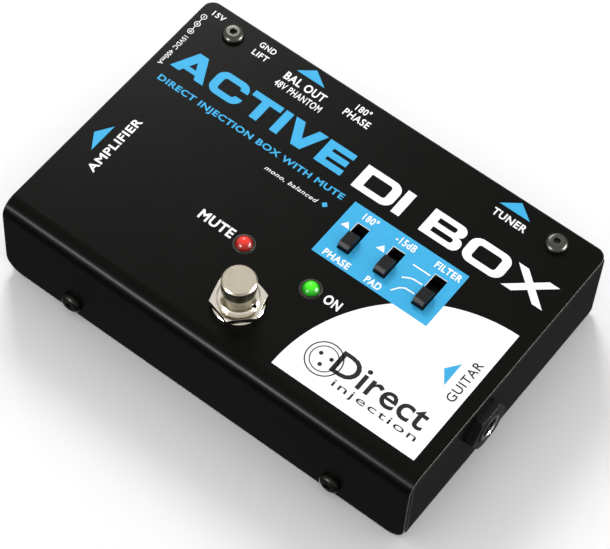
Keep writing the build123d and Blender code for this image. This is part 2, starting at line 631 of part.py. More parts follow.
def lamp_lens(x):
    """Round-topped lens of one lamp."""
    bottom = TOP_INSIDE - LAMP_BELOW_TOP_SHEET
    top = HEIGHT + LAMP_ABOVE_TOP
    barrel = rod_z(LAMP_RADIUS, (bottom, top - LAMP_RADIUS), x, LAMP_Y)
    dome = Pos(x, LAMP_Y, top - LAMP_RADIUS) * Sphere(LAMP_RADIUS)
    flange = rod_z(LAMP_RADIUS + LAMP_FLANGE_RIM, (bottom, bottom + LAMP_FLANGE_THICKNESS), x, LAMP_Y)
    return barrel + dome + flange


def lamp_bezels():
    """Two thin metal rings in the top cover round the lamps."""
    bezels = []
    z_span = (TOP_INSIDE - BEZEL_BELOW_TOP_SHEET, HEIGHT + BEZEL_LIP)
    for x in LAMP_X:
        sleeve = rod_z(BEZEL_RADIUS, z_span, x, LAMP_Y)
        sleeve = fillet(sleeve.edges().group_by(Axis.Z)[-1], BEZEL_LIP / 2)
        bezels.append(sleeve - rod_z(LAMP_RADIUS + BEZEL_CLEARANCE, (0, 2 * HEIGHT), x, LAMP_Y))
    return group(bezels)


def lamp_leads():
    """Two wire leads from each lamp down to the control board."""
    leads = []
    z_span = (CONTROL_TOP, TOP_INSIDE - LAMP_BELOW_TOP_SHEET)
    for x in LAMP_X:
        for side in (-LEAD_PITCH / 2, LEAD_PITCH / 2):
            leads.append(rod_z(LEAD_RADIUS, z_span, x + side, LAMP_Y))
    return group(leads)


def top_switch_frame(x, travel):
    """Sheet-metal can of one top slide switch, open under its slot."""
    front, rear = slot_y_span(travel)
    y_span = (front - CAN_END, rear + CAN_END)
    x_span = (x - CAN_WIDTH / 2, x + CAN_WIDTH / 2)
    can_top = CONTROL_TOP + CAN_HEIGHT
    can = block(x_span, y_span, (CONTROL_TOP, can_top))
    can = fillet(can.edges().filter_by(Axis.Z), CAN_SHEET)
    room = block(
        (x_span[0] + CAN_SHEET, x_span[1] - CAN_SHEET),
        (y_span[0] + CAN_SHEET, y_span[1] - CAN_SHEET),
        (slider_bottom() - RUN_GAP, can_top - CAN_SHEET),
    )
    x_window = (x - SLOT_WIDTH / 2, x + SLOT_WIDTH / 2)
    window = block(x_window, (front, rear), (slider_bottom(), can_top + CUT_PAST))
    return can - room - window


def slider_bottom():
    """Lower face of the slider inside a top slide switch."""
    return CONTROL_TOP + CAN_HEIGHT - CAN_SHEET - RUN_GAP - SLIDER_THICKNESS


def ribbed_knob(width, length, height, slope):
    """Knob on z = 0 with sloping ends and finger grooves across its top."""
    half = length / 2
    right_side = [(half - slope, height), (half, height - slope), (half, 0)]
    left_side = [(-y, z) for y, z in reversed(right_side)]
    side = Polyline(*left_side, *right_side, close=True)
    knob = extrude(Plane.YZ * make_face(side), width / 2, both=True)
    pitch = (length - 2 * slope) / KNOB_GROOVES
    for step in range(KNOB_GROOVES):
        y = -half + slope + pitch * (step + 0.5)
        knob -= Pos(0, y, height) * Box(2 * width, KNOB_GROOVE_SHARE * pitch, 2 * KNOB_GROOVE_DEPTH)
    return knob


def top_switch_knob(x, travel):
    """Knob and slider of one top slide switch, at the front end of its slot."""
    y = slot_y_span(travel)[0] + SLOT_END_GAP + KNOB_LENGTH / 2
    bottom = slider_bottom()
    knob = ribbed_knob(KNOB_WIDTH, KNOB_LENGTH, HEIGHT + KNOB_ABOVE_TOP - bottom, KNOB_SLOPE)
    slider = Box(KNOB_WIDTH + 2 * SLIDER_LIP, KNOB_LENGTH + 2 * SLIDER_LIP, SLIDER_THICKNESS)
    return Pos(x, y, bottom) * (knob + Pos(0, 0, SLIDER_THICKNESS / 2) * slider)


def rear_slot_length():
    """Length along x of a slot in the rear panel."""
    return REAR_KNOB_LENGTH + REAR_KNOB_TRAVEL + 2 * SLOT_END_GAP


def rear_slider_span():
    """y of the slider inside a rear slide switch."""
    outer = CONNECTOR_BACK - CAN_SHEET - RUN_GAP
    return (outer - SLIDER_THICKNESS, outer)


def rear_switch_frame(x):
    """Can of one rear slide switch, standing on the main board behind the panel."""
    half = rear_slot_length() / 2
    x_span = (x - half - REAR_CAN_END, x + half + REAR_CAN_END)
    y_span = (CONNECTOR_BACK - REAR_CAN_DEPTH, CONNECTOR_BACK)
    z_span = (REAR_SWITCH_Z - REAR_CAN_HEIGHT / 2, REAR_SWITCH_Z + REAR_CAN_HEIGHT / 2)
    can = block(x_span, y_span, (BOARD_TOP, z_span[1]))
    room = block(
        (x_span[0] + CAN_SHEET, x_span[1] - CAN_SHEET),
        (rear_slider_span()[0] - RUN_GAP, y_span[1] - CAN_SHEET),
        (z_span[0] + CAN_SHEET, z_span[1] - CAN_SHEET),
    )
    z_slot = (REAR_SWITCH_Z - REAR_SLOT_HEIGHT / 2, REAR_SWITCH_Z + REAR_SLOT_HEIGHT / 2)
    window = block((x - half, x + half), (y_span[1] - 2 * CAN_SHEET, y_span[1] + CUT_PAST), z_slot)
    return can - room - window


def rear_switch_knob(x):
    """Knob and slider of one rear slide switch, at the left end of its slot."""
    start = x - rear_slot_length() / 2 + SLOT_END_GAP + REAR_KNOB_LENGTH / 2
    y_span = rear_slider_span()
    reach = PANEL_OUTER + REAR_KNOB_OUT - y_span[0]
    knob = ribbed_knob(REAR_KNOB_HEIGHT, REAR_KNOB_LENGTH, reach, REAR_KNOB_SLOPE)
    knob = Pos(start, y_span[0], REAR_SWITCH_Z) * Rot(-90, 0, 0) * Rot(0, 0, 90) * knob
    room = rear_slot_length() + 2 * REAR_CAN_END - 2 * CAN_SHEET
    slider_length = room - REAR_KNOB_TRAVEL - 2 * RUN_GAP
    half_height = REAR_KNOB_HEIGHT / 2 + SLIDER_LIP
    slider_left = x - room / 2 + RUN_GAP
    x_span = (slider_left, slider_left + slider_length)
    z_span = (REAR_SWITCH_Z - half_height, REAR_SWITCH_Z + half_height)
    return knob + block(x_span, y_span, z_span)


def jack_nose():
    """Length of a jack's threaded nose, from the inside of its panel."""
    return CHASSIS_SHEET + JACK_NUT_HEIGHT + JACK_NOSE_PAST_NUT


def jack_body():
    """Moulded body of a jack; its panel face is z = 0, its mouth is up and local x points down."""
    half = JACK_BODY_WIDTH / 2
    nose = jack_nose()
    body = block((-JACK_BODY_HEIGHT_ABOVE_AXIS, SOCKET_Z - BOARD_TOP), (-half, half), (-JACK_BODY_DEPTH, 0))
    body = fillet(body.edges().filter_by(Axis.Z), MOULDED_EDGE)
    body += Pos(0, 0, nose / 2) * Cylinder(JACK_THREAD_RADIUS, nose)
    body -= Pos(0, 0, nose - FERRULE_LENGTH / 2) * Cylinder(FERRULE_RADIUS + THREAD_CLEARANCE, FERRULE_LENGTH)
    body -= Cylinder(JACK_BORE_RADIUS + JACK_BORE_RELIEF, 4 * JACK_BODY_DEPTH)
    room_half = CONTACT_WIDTH / 2 + CONTACT_ROOM_SIDE_GAP
    room_far = JACK_BORE_RADIUS + JACK_BORE_RELIEF + CONTACT_ROOM_REACH
    return body - block((-room_far, 0), (-room_half, room_half), (-2 * JACK_BODY_DEPTH, -CONTACT_STOP))


def jack_nut():
    """Hexagonal nut on a jack's nose, placed as jack_body is."""
    nut = Pos(0, 0, CHASSIS_SHEET) * hex_prism(JACK_NUT_FLATS, JACK_NUT_HEIGHT, JACK_NUT_TURN)
    return nut - Cylinder(JACK_THREAD_RADIUS + THREAD_CLEARANCE, 4 * JACK_BODY_DEPTH)


def jack_ferrule():
    """Bright sleeve that lines a jack's mouth, placed as jack_body is."""
    ferrule = Pos(0, 0, jack_nose() - FERRULE_LENGTH / 2) * Cylinder(FERRULE_RADIUS, FERRULE_LENGTH)
    ferrule -= Cylinder(JACK_BORE_RADIUS, 4 * JACK_BODY_DEPTH)
    mouth_edges = ferrule.edges().filter_by(GeomType.CIRCLE).group_by(Axis.Z)[-1]
    return chamfer(mouth_edges.sort_by(SortBy.RADIUS)[0], FERRULE_CHAMFER)


def jack_contact():
    """Spring strip beside a jack's bore, placed as jack_body is."""
    strip_x = -(JACK_BORE_RADIUS + JACK_BORE_RELIEF + CONTACT_GAP)
    half = CONTACT_WIDTH / 2
    return block((strip_x - CONTACT_SHEET, strip_x), (-half, half), (-JACK_BODY_DEPTH, -CONTACT_STOP))


def jack_places():
    """Location of each jack's panel face; local x points down and local z out of the mouth."""
    down = (0, 0, -1)
    right = Plane(origin=(LENGTH - END_INNER, END_JACK_Y, SOCKET_Z), x_dir=down, z_dir=(1, 0, 0))
    left = Plane(origin=(END_INNER, END_JACK_Y, SOCKET_Z), x_dir=down, z_dir=(-1, 0, 0))
    rear = Plane(origin=(TUNER_JACK_X, PANEL_INNER, SOCKET_Z), x_dir=down, z_dir=(0, 1, 0))
    return {"guitar": right.location, "amplifier": left.location, "tuner": rear.location}


def xlr_screw_places():
    """x and z of the two screws of the three-pin connector, at opposite corners."""
    return [(XLR_X + side * XLR_SCREW_DX, SOCKET_Z + side * XLR_SCREW_DZ) for side in (-1, 1)]


def xlr_shell():
    """Shell of the three-pin connector, with the block that stands on the board."""
    x_span = (XLR_X - XLR_BODY_HALF_WIDTH, XLR_X + XLR_BODY_HALF_WIDTH)
    z_span = (BOARD_TOP, SOCKET_Z + XLR_SHELL_RADIUS + XLR_BODY_CROWN)
    shell = block(x_span, (CONNECTOR_BACK - XLR_BODY_DEPTH, CONNECTOR_BACK), z_span)
    shell = fillet(shell.edges().filter_by(Axis.Y), XLR_BODY_CORNER)
    rim = rod_y(XLR_SHELL_RADIUS, (CONNECTOR_BACK - CUT_PAST, XLR_MOUTH), XLR_X, SOCKET_Z)
    shell += fillet(rim.edges().group_by(Axis.Y)[-1], XLR_RIM_RADIUS)
    shell -= rod_y(XLR_CAVITY_RADIUS, (XLR_INSERT_BACK, XLR_MOUTH + CUT_PAST), XLR_X, SOCKET_Z)
    screw_end = PANEL_OUTER - XLR_SCREW_LENGTH - HOLE_CLEARANCE
    for x, z in xlr_screw_places():
        shell -= rod_y(XLR_SCREW_SHANK_RADIUS + THREAD_CLEARANCE, (screw_end, PANEL_OUTER), x, z)
    return shell


def xlr_insert():
    """Moulded disc that carries the three pins."""
    disc_radius = XLR_CAVITY_RADIUS - THREAD_CLEARANCE
    disc = rod_y(disc_radius, (XLR_INSERT_BACK, XLR_INSERT_FRONT), XLR_X, SOCKET_Z)
    for x, z in xlr_pin_places():
        disc -= rod_y(XLR_PIN_RADIUS + PRESS_CLEARANCE, (0, WIDTH), x, z)
    return disc


def xlr_pin_places():
    """x and z of the three pins: two above and one below, seen from the rear."""
    places = []
    for degrees in (30, 150, 270):
        turn = math.radians(degrees)
        places.append((XLR_X + XLR_PIN_CIRCLE * math.cos(turn), SOCKET_Z + XLR_PIN_CIRCLE * math.sin(turn)))
    return places


def xlr_pins():
    """Three contact pins with domed ends."""
    pins = []
    for x, z in xlr_pin_places():
        pin = rod_y(XLR_PIN_RADIUS, (XLR_INSERT_BACK, XLR_INSERT_FRONT + XLR_PIN_LENGTH), x, z)
        pins.append(fillet(pin.edges().group_by(Axis.Y)[-1], PIN_DOME_SHARE * XLR_PIN_RADIUS))
    return group(pins)


def xlr_screws():
    """Two screws that hold the three-pin connector to the panel."""
    screw = Rot(-90, 0, 0) * button_screw(
        XLR_SCREW_SHANK_RADIUS, XLR_SCREW_HEAD_RADIUS, XLR_SCREW_HEAD_HEIGHT, XLR_SCREW_LENGTH,
        XLR_SCREW_SOCKET_FLATS,
    )
    return group([Pos(x, PANEL_OUTER, z) * screw for x, z in xlr_screw_places()])


def power_inlet_body():
    """Moulded power inlet with a round nose in the panel."""
    half = POWER_BODY_WIDTH / 2
    y_span = (CONNECTOR_BACK - POWER_BODY_DEPTH, CONNECTOR_BACK)
    body = block((POWER_X - half, POWER_X + half), y_span, (BOARD_TOP, BOARD_TOP + POWER_BODY_HEIGHT))
    body += rod_y(POWER_NOSE_RADIUS, (CONNECTOR_BACK - CUT_PAST, POWER_MOUTH), POWER_X, POWER_Z)
    return body - rod_y(POWER_MOUTH_RADIUS, (POWER_MOUTH_FLOOR, POWER_MOUTH + CUT_PAST), POWER_X, POWER_Z)


def power_inlet_pin():
    """Centre pin of the power inlet."""
    y_span = (POWER_MOUTH_FLOOR, POWER_MOUTH - POWER_PIN_BEHIND_MOUTH)
    pin = rod_y(POWER_PIN_RADIUS, y_span, POWER_X, POWER_Z)
    return fillet(pin.edges().group_by(Axis.Y)[-1], PIN_DOME_SHARE * POWER_PIN_RADIUS)


def standoff_places():
    """x and y of the four standoffs under the main board."""
    left = END_INNER + BOARD_END_GAP + STANDOFF_INSET
    right = LENGTH - left
    inner = XLR_X + XLR_BODY_HALF_WIDTH + STANDOFF_FROM_XLR
    front = BOARD_FRONT + STANDOFF_FROM_FRONT
    rear = BOARD_REAR - STANDOFF_FROM_REAR
    return [(left, front), (right, front), (inner, rear), (right, rear)]


def main_board():
    """Main circuit board, low in the case."""
    x_span = (END_INNER + BOARD_END_GAP, LENGTH - END_INNER - BOARD_END_GAP)
    board = block(x_span, (BOARD_FRONT, BOARD_REAR), (BOARD_BOTTOM, BOARD_TOP))
    for x, y in standoff_places():
        board -= rod_z(BOARD_SCREW_RADIUS + HOLE_CLEARANCE, (0, HEIGHT), x, y)
    return board


def board_standoffs():
    """Round standoffs between the bottom plate and the main board."""
    posts = []
    for x, y in standoff_places():
        post = rod_z(STANDOFF_RADIUS, (PLATE_TOP, BOARD_BOTTOM), x, y)
        posts.append(post - rod_z(BOARD_SCREW_RADIUS + THREAD_CLEARANCE, (0, HEIGHT), x, y))
    return group(posts)


def board_screws():
    """Pan-head screws through the main board into the bottom plate."""
    screws = []
    for x, y in standoff_places():
        shank = rod_z(BOARD_SCREW_RADIUS, (PLATE_BOTTOM, BOARD_TOP), x, y)
        head = rod_z(BOARD_SCREW_HEAD_RADIUS, (BOARD_TOP, BOARD_TOP + BOARD_SCREW_HEAD_HEIGHT), x, y)
        head = fillet(head.edges().group_by(Axis.Z)[-1], BOARD_SCREW_HEAD_HEIGHT / 2)
        screws.append(shank + head)
    return group(screws)


def control_board():
    """Small upper board that carries the top slide switches and the lamps."""
    return block((CONTROL_LEFT, CONTROL_RIGHT), (CONTROL_FRONT, CONTROL_REAR), (CONTROL_BOTTOM, CONTROL_TOP))


def control_pillars():
    """Three pillars between the two boards."""
    inset = PILLAR_RADIUS + PILLAR_EDGE
    left = CONTROL_LEFT + inset
    right = CONTROL_RIGHT - inset
    front = CONTROL_FRONT + inset
    places = [(left, front), (right, front), (left + PILLAR_STEP, CONTROL_REAR - inset)]
    pillar = extrude(RegularPolygon(PILLAR_RADIUS, 6), CONTROL_BOTTOM - BOARD_TOP)
    return group([Pos(x, y, BOARD_TOP) * pillar for x, y in places])


def board_header():
    """Connector that joins the two boards."""
    x = CONTROL_LEFT + HEADER_FROM_EDGE
    y = (CONTROL_FRONT + CONTROL_REAR) / 2
    half_width = HEADER_WIDTH / 2
    half_length = HEADER_PINS * HEADER_PITCH / 2
    z_span = (BOARD_TOP, CONTROL_BOTTOM)
    return block((x - half_width, x + half_width), (y - half_length, y + half_length), z_span)


def transformer_core():
    """Laminated core with two windows."""
    core = block(TRANSFORMER_X, TRANSFORMER_Y, (BOARD_TOP, BOARD_TOP + TRANSFORMER_HEIGHT))
    left, right = TRANSFORMER_X
    middle = (left + right) / 2
    z_span = (BOARD_TOP + CORE_YOKE, BOARD_TOP + TRANSFORMER_HEIGHT - CORE_YOKE)
    for x_span in ((left + CORE_YOKE, middle - CORE_LIMB / 2), (middle + CORE_LIMB / 2, right - CORE_YOKE)):
        core -= block(x_span, TRANSFORMER_Y, z_span)
    return core


def transformer_coil():
    """Taped winding round the core's middle limb."""
    left, right = TRANSFORMER_X
    front, rear = TRANSFORMER_Y
    margin = CORE_YOKE + COIL_GAP
    y_span = (front - COIL_PROUD, BOARD_REAR - COIL_FROM_PANEL)
    z_span = (BOARD_TOP + margin, BOARD_TOP + TRANSFORMER_HEIGHT - margin)
    coil = block((left + margin, right - margin), y_span, z_span)
    coil = fillet(coil.edges().filter_by(Axis.Z), COIL_CORNER)
    middle = (left + right) / 2
    half_limb = CORE_LIMB / 2 + COIL_GAP
    limb = block((middle - half_limb, middle + half_limb), (front - COIL_GAP, rear + COIL_GAP), (0, HEIGHT))
    return coil - limb


def electrolytic_capacitors():
    """Row of upright capacitors."""
    cans = []
    for step in range(CAPACITOR_COUNT):
        x = CAPACITOR_LEFT + step * CAPACITOR_PITCH
        can = rod_z(CAPACITOR_RADIUS, (BOARD_TOP, BOARD_TOP + CAPACITOR_HEIGHT), x, CAPACITOR_Y)
        cans.append(fillet(can.edges(), CAPACITOR_EDGE))
    return group(cans)


def op_amp_chips():
    """Row of eight-pin chips."""
    chips = []
    for step in range(CHIP_COUNT):
        x = SWITCH_X + step * CHIP_PITCH
        chip = Pos(x, CHIP_Y, BOARD_TOP + CHIP_SIZE[2] / 2) * Box(*CHIP_SIZE)
        chips.append(chamfer(chip.edges().group_by(Axis.Z)[-1], CHIP_EDGE))
    return group(chips)


def resistors():
    """Row of resistors lying on the main board."""
    bodies = []
    y_span = (RESISTOR_Y - RESISTOR_LENGTH / 2, RESISTOR_Y + RESISTOR_LENGTH / 2)
    for step in range(RESISTOR_COUNT):
        x = SWITCH_X + step * RESISTOR_PITCH
        body = rod_y(RESISTOR_RADIUS, y_span, x, BOARD_TOP + RESISTOR_RADIUS)
        bodies.append(fillet(body.edges(), RESISTOR_EDGE))
    return group(bodies)


def build_nodes():
    """Every node of the object by name."""
    nodes = {
        "top_cover": top_cover(),
        "base_chassis": base_chassis(),
        "rear_channel": rear_channel(),
        "non_slip_pad": non_slip_pad(),
        "cover_screws": cover_screws(),
        "cover_clinch_nuts": cover_clinch_nuts(),
        "front_screws": front_screws(),
        "front_clinch_nuts": front_clinch_nuts(),
        "channel_rivets": channel_rivets(),
        "footswitch_housing": footswitch_housing(),
        "footswitch_yoke": footswitch_yoke(),
        "footswitch_bushing": footswitch_bushing(),
        "footswitch_locknut": bush_nut(YOKE_TOP + SEAM),
        "footswitch_washer": footswitch_washer(),
        "footswitch_nut": bush_nut(HEIGHT + WASHER_THICKNESS),
        "footswitch_plunger": footswitch_plunger(),
        "footswitch_spring": footswitch_spring(),
        "footswitch_terminals": footswitch_terminals(),
        "footswitch_wires": footswitch_wires(),
        "mute_lamp_lens": lamp_lens(LAMP_X[0]),
        "power_lamp_lens": lamp_lens(LAMP_X[1]),
        "lamp_bezels": lamp_bezels(),
        "lamp_leads": lamp_leads(),
        "xlr_shell": xlr_shell(),
        "xlr_insert": xlr_insert(),
        "xlr_pins": xlr_pins(),
        "xlr_screws": xlr_screws(),
        "power_inlet_body": power_inlet_body(),
        "power_inlet_pin": power_inlet_pin(),
        "main_board": main_board(),
        "control_board": control_board(),
        "board_header": board_header(),
        "board_standoffs": board_standoffs(),
        "board_screws": board_screws(),
        "control_pillars": control_pillars(),
        "transformer_core": transformer_core(),
        "transformer_coil": transformer_coil(),
        "electrolytic_capacitors": electrolytic_capacitors(),
        "op_amp_chips": op_amp_chips(),
        "resistors": resistors(),
    }
    for name, x in TOP_SWITCH_X.items():
        nodes[name + "_switch_frame"] = top_switch_frame(x, TOP_SWITCH_TRAVEL[name])
        nodes[name + "_switch_knob"] = top_switch_knob(x, TOP_SWITCH_TRAVEL[name])
    for name, x in REAR_SWITCHES.items():
        nodes[name + "_switch_frame"] = rear_switch_frame(x)
        nodes[name + "_switch_knob"] = rear_switch_knob(x)
    for name, place in jack_places().items():
        nodes[name + "_jack_body"] = place * jack_body()
        nodes[name + "_jack_nut"] = place * jack_nut()
        nodes[name + "_jack_ferrule"] = place * jack_ferrule()
    nodes["jack_contacts"] = group([place * jack_contact() for place in jack_places().values()])
    return nodes


def main():
    """Write one STEP file per node."""
    os.makedirs("parts", exist_ok=True)
    for name, shape in build_nodes().items():
        export_step(SHIFT * shape, os.path.join("parts", name + ".step"))


main()
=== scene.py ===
"""Looks of a small stage box with a footswitch, built round its CAD frame.

Each sub-assembly is a class that holds its sizes in millimetres and dresses the CAD nodes it owns.
Plan places are measured from the front left corner of the box, heights from the floor.
"""

import logging
import math
from dataclasses import dataclass
from enum import Enum
from typing import ClassVar

import bmesh
import bpy
from mathutils import Matrix, Quaternion, Vector
from mathutils.geometry import tessellate_polygon


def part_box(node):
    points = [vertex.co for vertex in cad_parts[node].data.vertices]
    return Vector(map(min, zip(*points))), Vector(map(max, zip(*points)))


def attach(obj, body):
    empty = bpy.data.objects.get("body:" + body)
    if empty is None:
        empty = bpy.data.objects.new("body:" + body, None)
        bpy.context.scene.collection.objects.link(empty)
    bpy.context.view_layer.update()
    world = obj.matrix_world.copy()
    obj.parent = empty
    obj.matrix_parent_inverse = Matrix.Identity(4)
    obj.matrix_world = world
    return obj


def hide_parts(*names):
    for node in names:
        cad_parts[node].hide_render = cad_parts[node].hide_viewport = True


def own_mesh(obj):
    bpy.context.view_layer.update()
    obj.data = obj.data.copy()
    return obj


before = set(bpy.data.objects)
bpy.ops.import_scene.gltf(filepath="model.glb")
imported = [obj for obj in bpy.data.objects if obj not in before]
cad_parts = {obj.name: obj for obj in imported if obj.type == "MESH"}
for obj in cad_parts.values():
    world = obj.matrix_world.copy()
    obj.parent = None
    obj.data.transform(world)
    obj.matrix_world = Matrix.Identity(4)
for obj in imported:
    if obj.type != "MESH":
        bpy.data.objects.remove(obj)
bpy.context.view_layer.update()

log = logging.getLogger("stage_box")

MM = 0.001
PLAN_ORIGIN = Vector((69.85, 45.35, 0.0))
TOP = 31.0
INK = 0.04
SINK = 0.01
TEXTURE_SPACE = "Object"
ARC_POINTS = 8
# A wave texture repeats every 0.314 of its unit; turned rings are set a touch wider apart.
WAVE = 0.31
BAND_WAVE = 0.314

Point = tuple[float, float]


class Slot(str, Enum):
    """Material slots of the part's record; no piece here takes its finish from them."""

    TOP = "cover_powder_coat"
    NICKEL = "nickel_plate"
    KNOB = "knob_plastic"
    PAD = "pad_rubber"
    SPRING = "spring_steel"


class Lay(Enum):
    """How the fine marks of a metal surface run."""

    TUMBLED = "in all directions"
    TURNED = "in rings about an upright axis"
    ROLLED = "along the sheet"


class Reading(Enum):
    """Which way a line of lettering runs on the top, as its turn in degrees."""

    RIGHT = 0
    REARWARD = 90
    FORWARD = -90


def linear(colour: str) -> tuple[float, float, float, float]:
    """Turn an sRGB hex colour into linear light.

    Args:
        colour: the colour, such as "#38BFF0".

    Returns:
        Red, green, blue and an alpha of one.
    """
    shares = [int(colour[start : start + 2], 16) / 255 for start in (1, 3, 5)]
    light = [s / 12.92 if s <= 0.04045 else ((s + 0.055) / 1.055) ** 2.4 for s in shares]
    return (light[0], light[1], light[2], 1.0)


def put(tree, kind: str, values: dict | None = None, links: dict | None = None, **settings):
    """Add a node with its settings, socket values and links.

    Args:
        tree: the node tree that takes it.
        kind: the node's type name.
        values: constants for input sockets, by name or number.
        links: for input sockets, by name or number, the (node, output) that feeds each.
        settings: the node's own properties.

    Returns:
        The node.
    """
    node = tree.nodes.new(kind)
    for name, value in settings.items():
        setattr(node, name, value)
    for name, value in (values or {}).items():
        node.inputs[name].default_value = value
    for name, (source, output) in (links or {}).items():
        tree.links.new(source.outputs[output], node.inputs[name])
    return node


def at(x: float, y: float, z: float = 0.0) -> Vector:
    """Turn a plan place and a height in millimetres into metres in the frame."""
    return (Vector((x, y, z)) - PLAN_ORIGIN) * MM


# ---------------------------------------------------------------- finishes


class Surface:
    """A material while it is painted: its node tree and its Principled shader."""

    def __init__(self, finish: "Finish") -> None:
        """Open a material with the name, colour, roughness and specular level of a finish."""
        self.finish = finish
        self.material = bpy.data.materials.new(finish.name)
        self.material.diffuse_color = linear(finish.colour)
        self.material.use_nodes = True
        self.tree = self.material.node_tree
        self.tree.nodes.clear()
        values = {
            "Base Color": linear(finish.colour),
            "Roughness": finish.roughness,
            "Specular IOR Level": finish.specular,
        }
        self.shader = self.add("ShaderNodeBsdfPrincipled", values)
        self.out = self.add("ShaderNodeOutputMaterial", links={"Surface": (self.shader, "BSDF")})

    def add(self, kind: str, values: dict | None = None, links: dict | None = None, **settings):
        """Add a node to the material."""
        return put(self.tree, kind, values, links, **settings)

    def feed(self, socket: str, node, output: str | int) -> None:
        """Link a node's output to an input of the shader."""
        self.tree.links.new(node.outputs[output], self.shader.inputs[socket])

    def place(self, centre: Point | None = None, stretch: Point = (1.0, 1.0)):
        """Give places on the object in metres, from a plan place if one is given, stretched along x and y."""
        middle = at(*centre) if centre else Vector()
        seen = self.add("ShaderNodeTexCoord")
        values = {
            "Location": (-middle.x, -middle.y, 0.0),
            "Scale": (1 / stretch[0], 1 / stretch[1], 1.0),
        }
        return self.add("ShaderNodeMapping", values, {"Vector": (seen, TEXTURE_SPACE)})

    def marks(self, spacing: float, stretch: Point = (1.0, 1.0), detail: float = 2.0):
        """Add noise whose features are a spacing in millimetres apart, longer along x and y by a stretch."""
        values = {"Scale": 1 / (spacing * MM), "Detail": detail}
        return self.add("ShaderNodeTexNoise", values, {"Vector": (self.place(stretch=stretch), "Vector")})

    def vary(self, marks) -> None:
        """Let a node's marks shift the roughness by the finish's spread either way."""
        mean, spread = self.finish.roughness, self.finish.spread
        values = {
            "From Min": 0.3,
            "From Max": 0.7,
            "To Min": max(mean - spread, 0.02),
            "To Max": min(mean + spread, 1.0),
        }
        self.feed("Roughness", self.add("ShaderNodeMapRange", values, {"Value": (marks, 0)}), "Result")

    def emboss(self, marks, under=None) -> None:
        """Raise a node's marks by the finish's relief, on the Normal of another node if one is given."""
        links = {"Height": (marks, 0)}
        if under:
            links["Normal"] = (under, "Normal")
        values = {"Distance": self.finish.relief * MM, "Strength": 1.0}
        self.feed("Normal", self.add("ShaderNodeBump", values, links), "Normal")

    def tint(self, share, other: str):
        """Blend the colour towards another hex colour by the Result of a node, and give the mix node."""
        values = {6: linear(self.finish.colour), 7: linear(other)}
        mix = self.add("ShaderNodeMix", values, {0: (share, "Result")}, data_type="RGBA")
        self.feed("Base Color", mix, 2)
        return mix

    def edges(self, radius: float):
        """Give a bevel node and the share of sharp edge within a radius in millimetres."""
        bevel = self.add("ShaderNodeBevel", {"Radius": radius * MM}, samples=4)
        flat = self.add("ShaderNodeNewGeometry")
        links = {0: (bevel, "Normal"), 1: (flat, "Normal")}
        level = self.add("ShaderNodeVectorMath", links=links, operation="DOT_PRODUCT")
        span = {"From Min": 0.995, "From Max": 0.86}
        return bevel, self.add("ShaderNodeMapRange", span, {"Value": (level, "Value")})


@dataclass(frozen=True)
class Finish:
    """A real material and how its surface was made.

    Attributes:
        name: the material's name.
        colour: its sRGB hex colour.
        roughness: its mean roughness.
        grain: spacing in millimetres of its finest marks.
        relief: height in millimetres of those marks.
        specular: the shader's specular level.
        spread: how far the marks shift the roughness either way.
    """

    spread: ClassVar[float] = 0.06
    name: str
    colour: str
    roughness: float = 0.5
    grain: float = 0.5
    relief: float = 0.01
    specular: float = 0.5

    def material(self) -> bpy.types.Material:
        """Give the material, made on its first use."""
        found = bpy.data.materials.get(self.name)
        if found:
            return found
        surface = Surface(self)
        self.paint(surface)
        return surface.material

    def paint(self, on: Surface) -> None:
        """Add the surface's own pattern to a material."""
        marks = on.marks(self.grain)
        on.vary(marks)
        on.emboss(marks)


@dataclass(frozen=True)
class OneSided(Finish):
    """Matt paint that is clear from behind, so that what stands on it can be seen from beneath."""

    def paint(self, on: Surface) -> None:
        """Let the back of the face go clear."""
        super().paint(on)
        clear = on.add("ShaderNodeBsdfTransparent")
        side = on.add("ShaderNodeNewGeometry")
        links = {0: (side, "Backfacing"), 1: (on.shader, "BSDF"), 2: (clear, "BSDF")}
        mix = on.add("ShaderNodeMixShader", links=links)
        on.tree.links.new(mix.outputs[0], on.out.inputs["Surface"])


@dataclass(frozen=True)
class PowderCoat(Finish):
    """Baked powder coat: an even satin skin with a fine orange peel, paler on its edges, partly as wear and
    partly as a painted highlight along the arris.

    Attributes:
        worn_and_highlit_edge: colour of its edges, partly wear and partly a painted highlight.
        edge: how far the paler edges reach, in millimetres.
        clouds: spacing in millimetres of the faint unevenness of its sheen.
    """

    spread: ClassVar[float] = 0.012
    worn_and_highlit_edge: str = "#55554F"
    edge: float = 0.35
    clouds: float = 14.0

    def paint(self, on: Surface) -> None:
        """Add orange peel, paler edges that are partly wear and partly a painted highlight, and a soft arris.
        """
        on.vary(on.marks(self.clouds))
        # Paler edges: partly wear, partly a painted highlight along the arris.
        bevel, share = on.edges(self.edge)
        on.tint(share, self.worn_and_highlit_edge)
        on.emboss(on.marks(self.grain), bevel)


@dataclass(frozen=True)
class ScreenInk(Finish):
    """Screen-printed ink: flat and matt, a little uneven in cover where the peel shows through.

    Attributes:
        thin: its colour where the cover is thin.
        patch: spacing in millimetres of the thin places.
    """

    spread: ClassVar[float] = 0.08
    thin: str = "#E8E8E4"
    patch: float = 1.6

    def paint(self, on: Surface) -> None:
        """Add uneven cover and the peel under it."""
        cover = on.marks(self.patch, detail=4.0)
        span = {"From Min": 0.45, "From Max": 0.85}
        on.tint(on.add("ShaderNodeMapRange", span, {"Value": (cover, 0)}), self.thin)
        on.vary(cover)
        on.emboss(on.marks(self.grain))


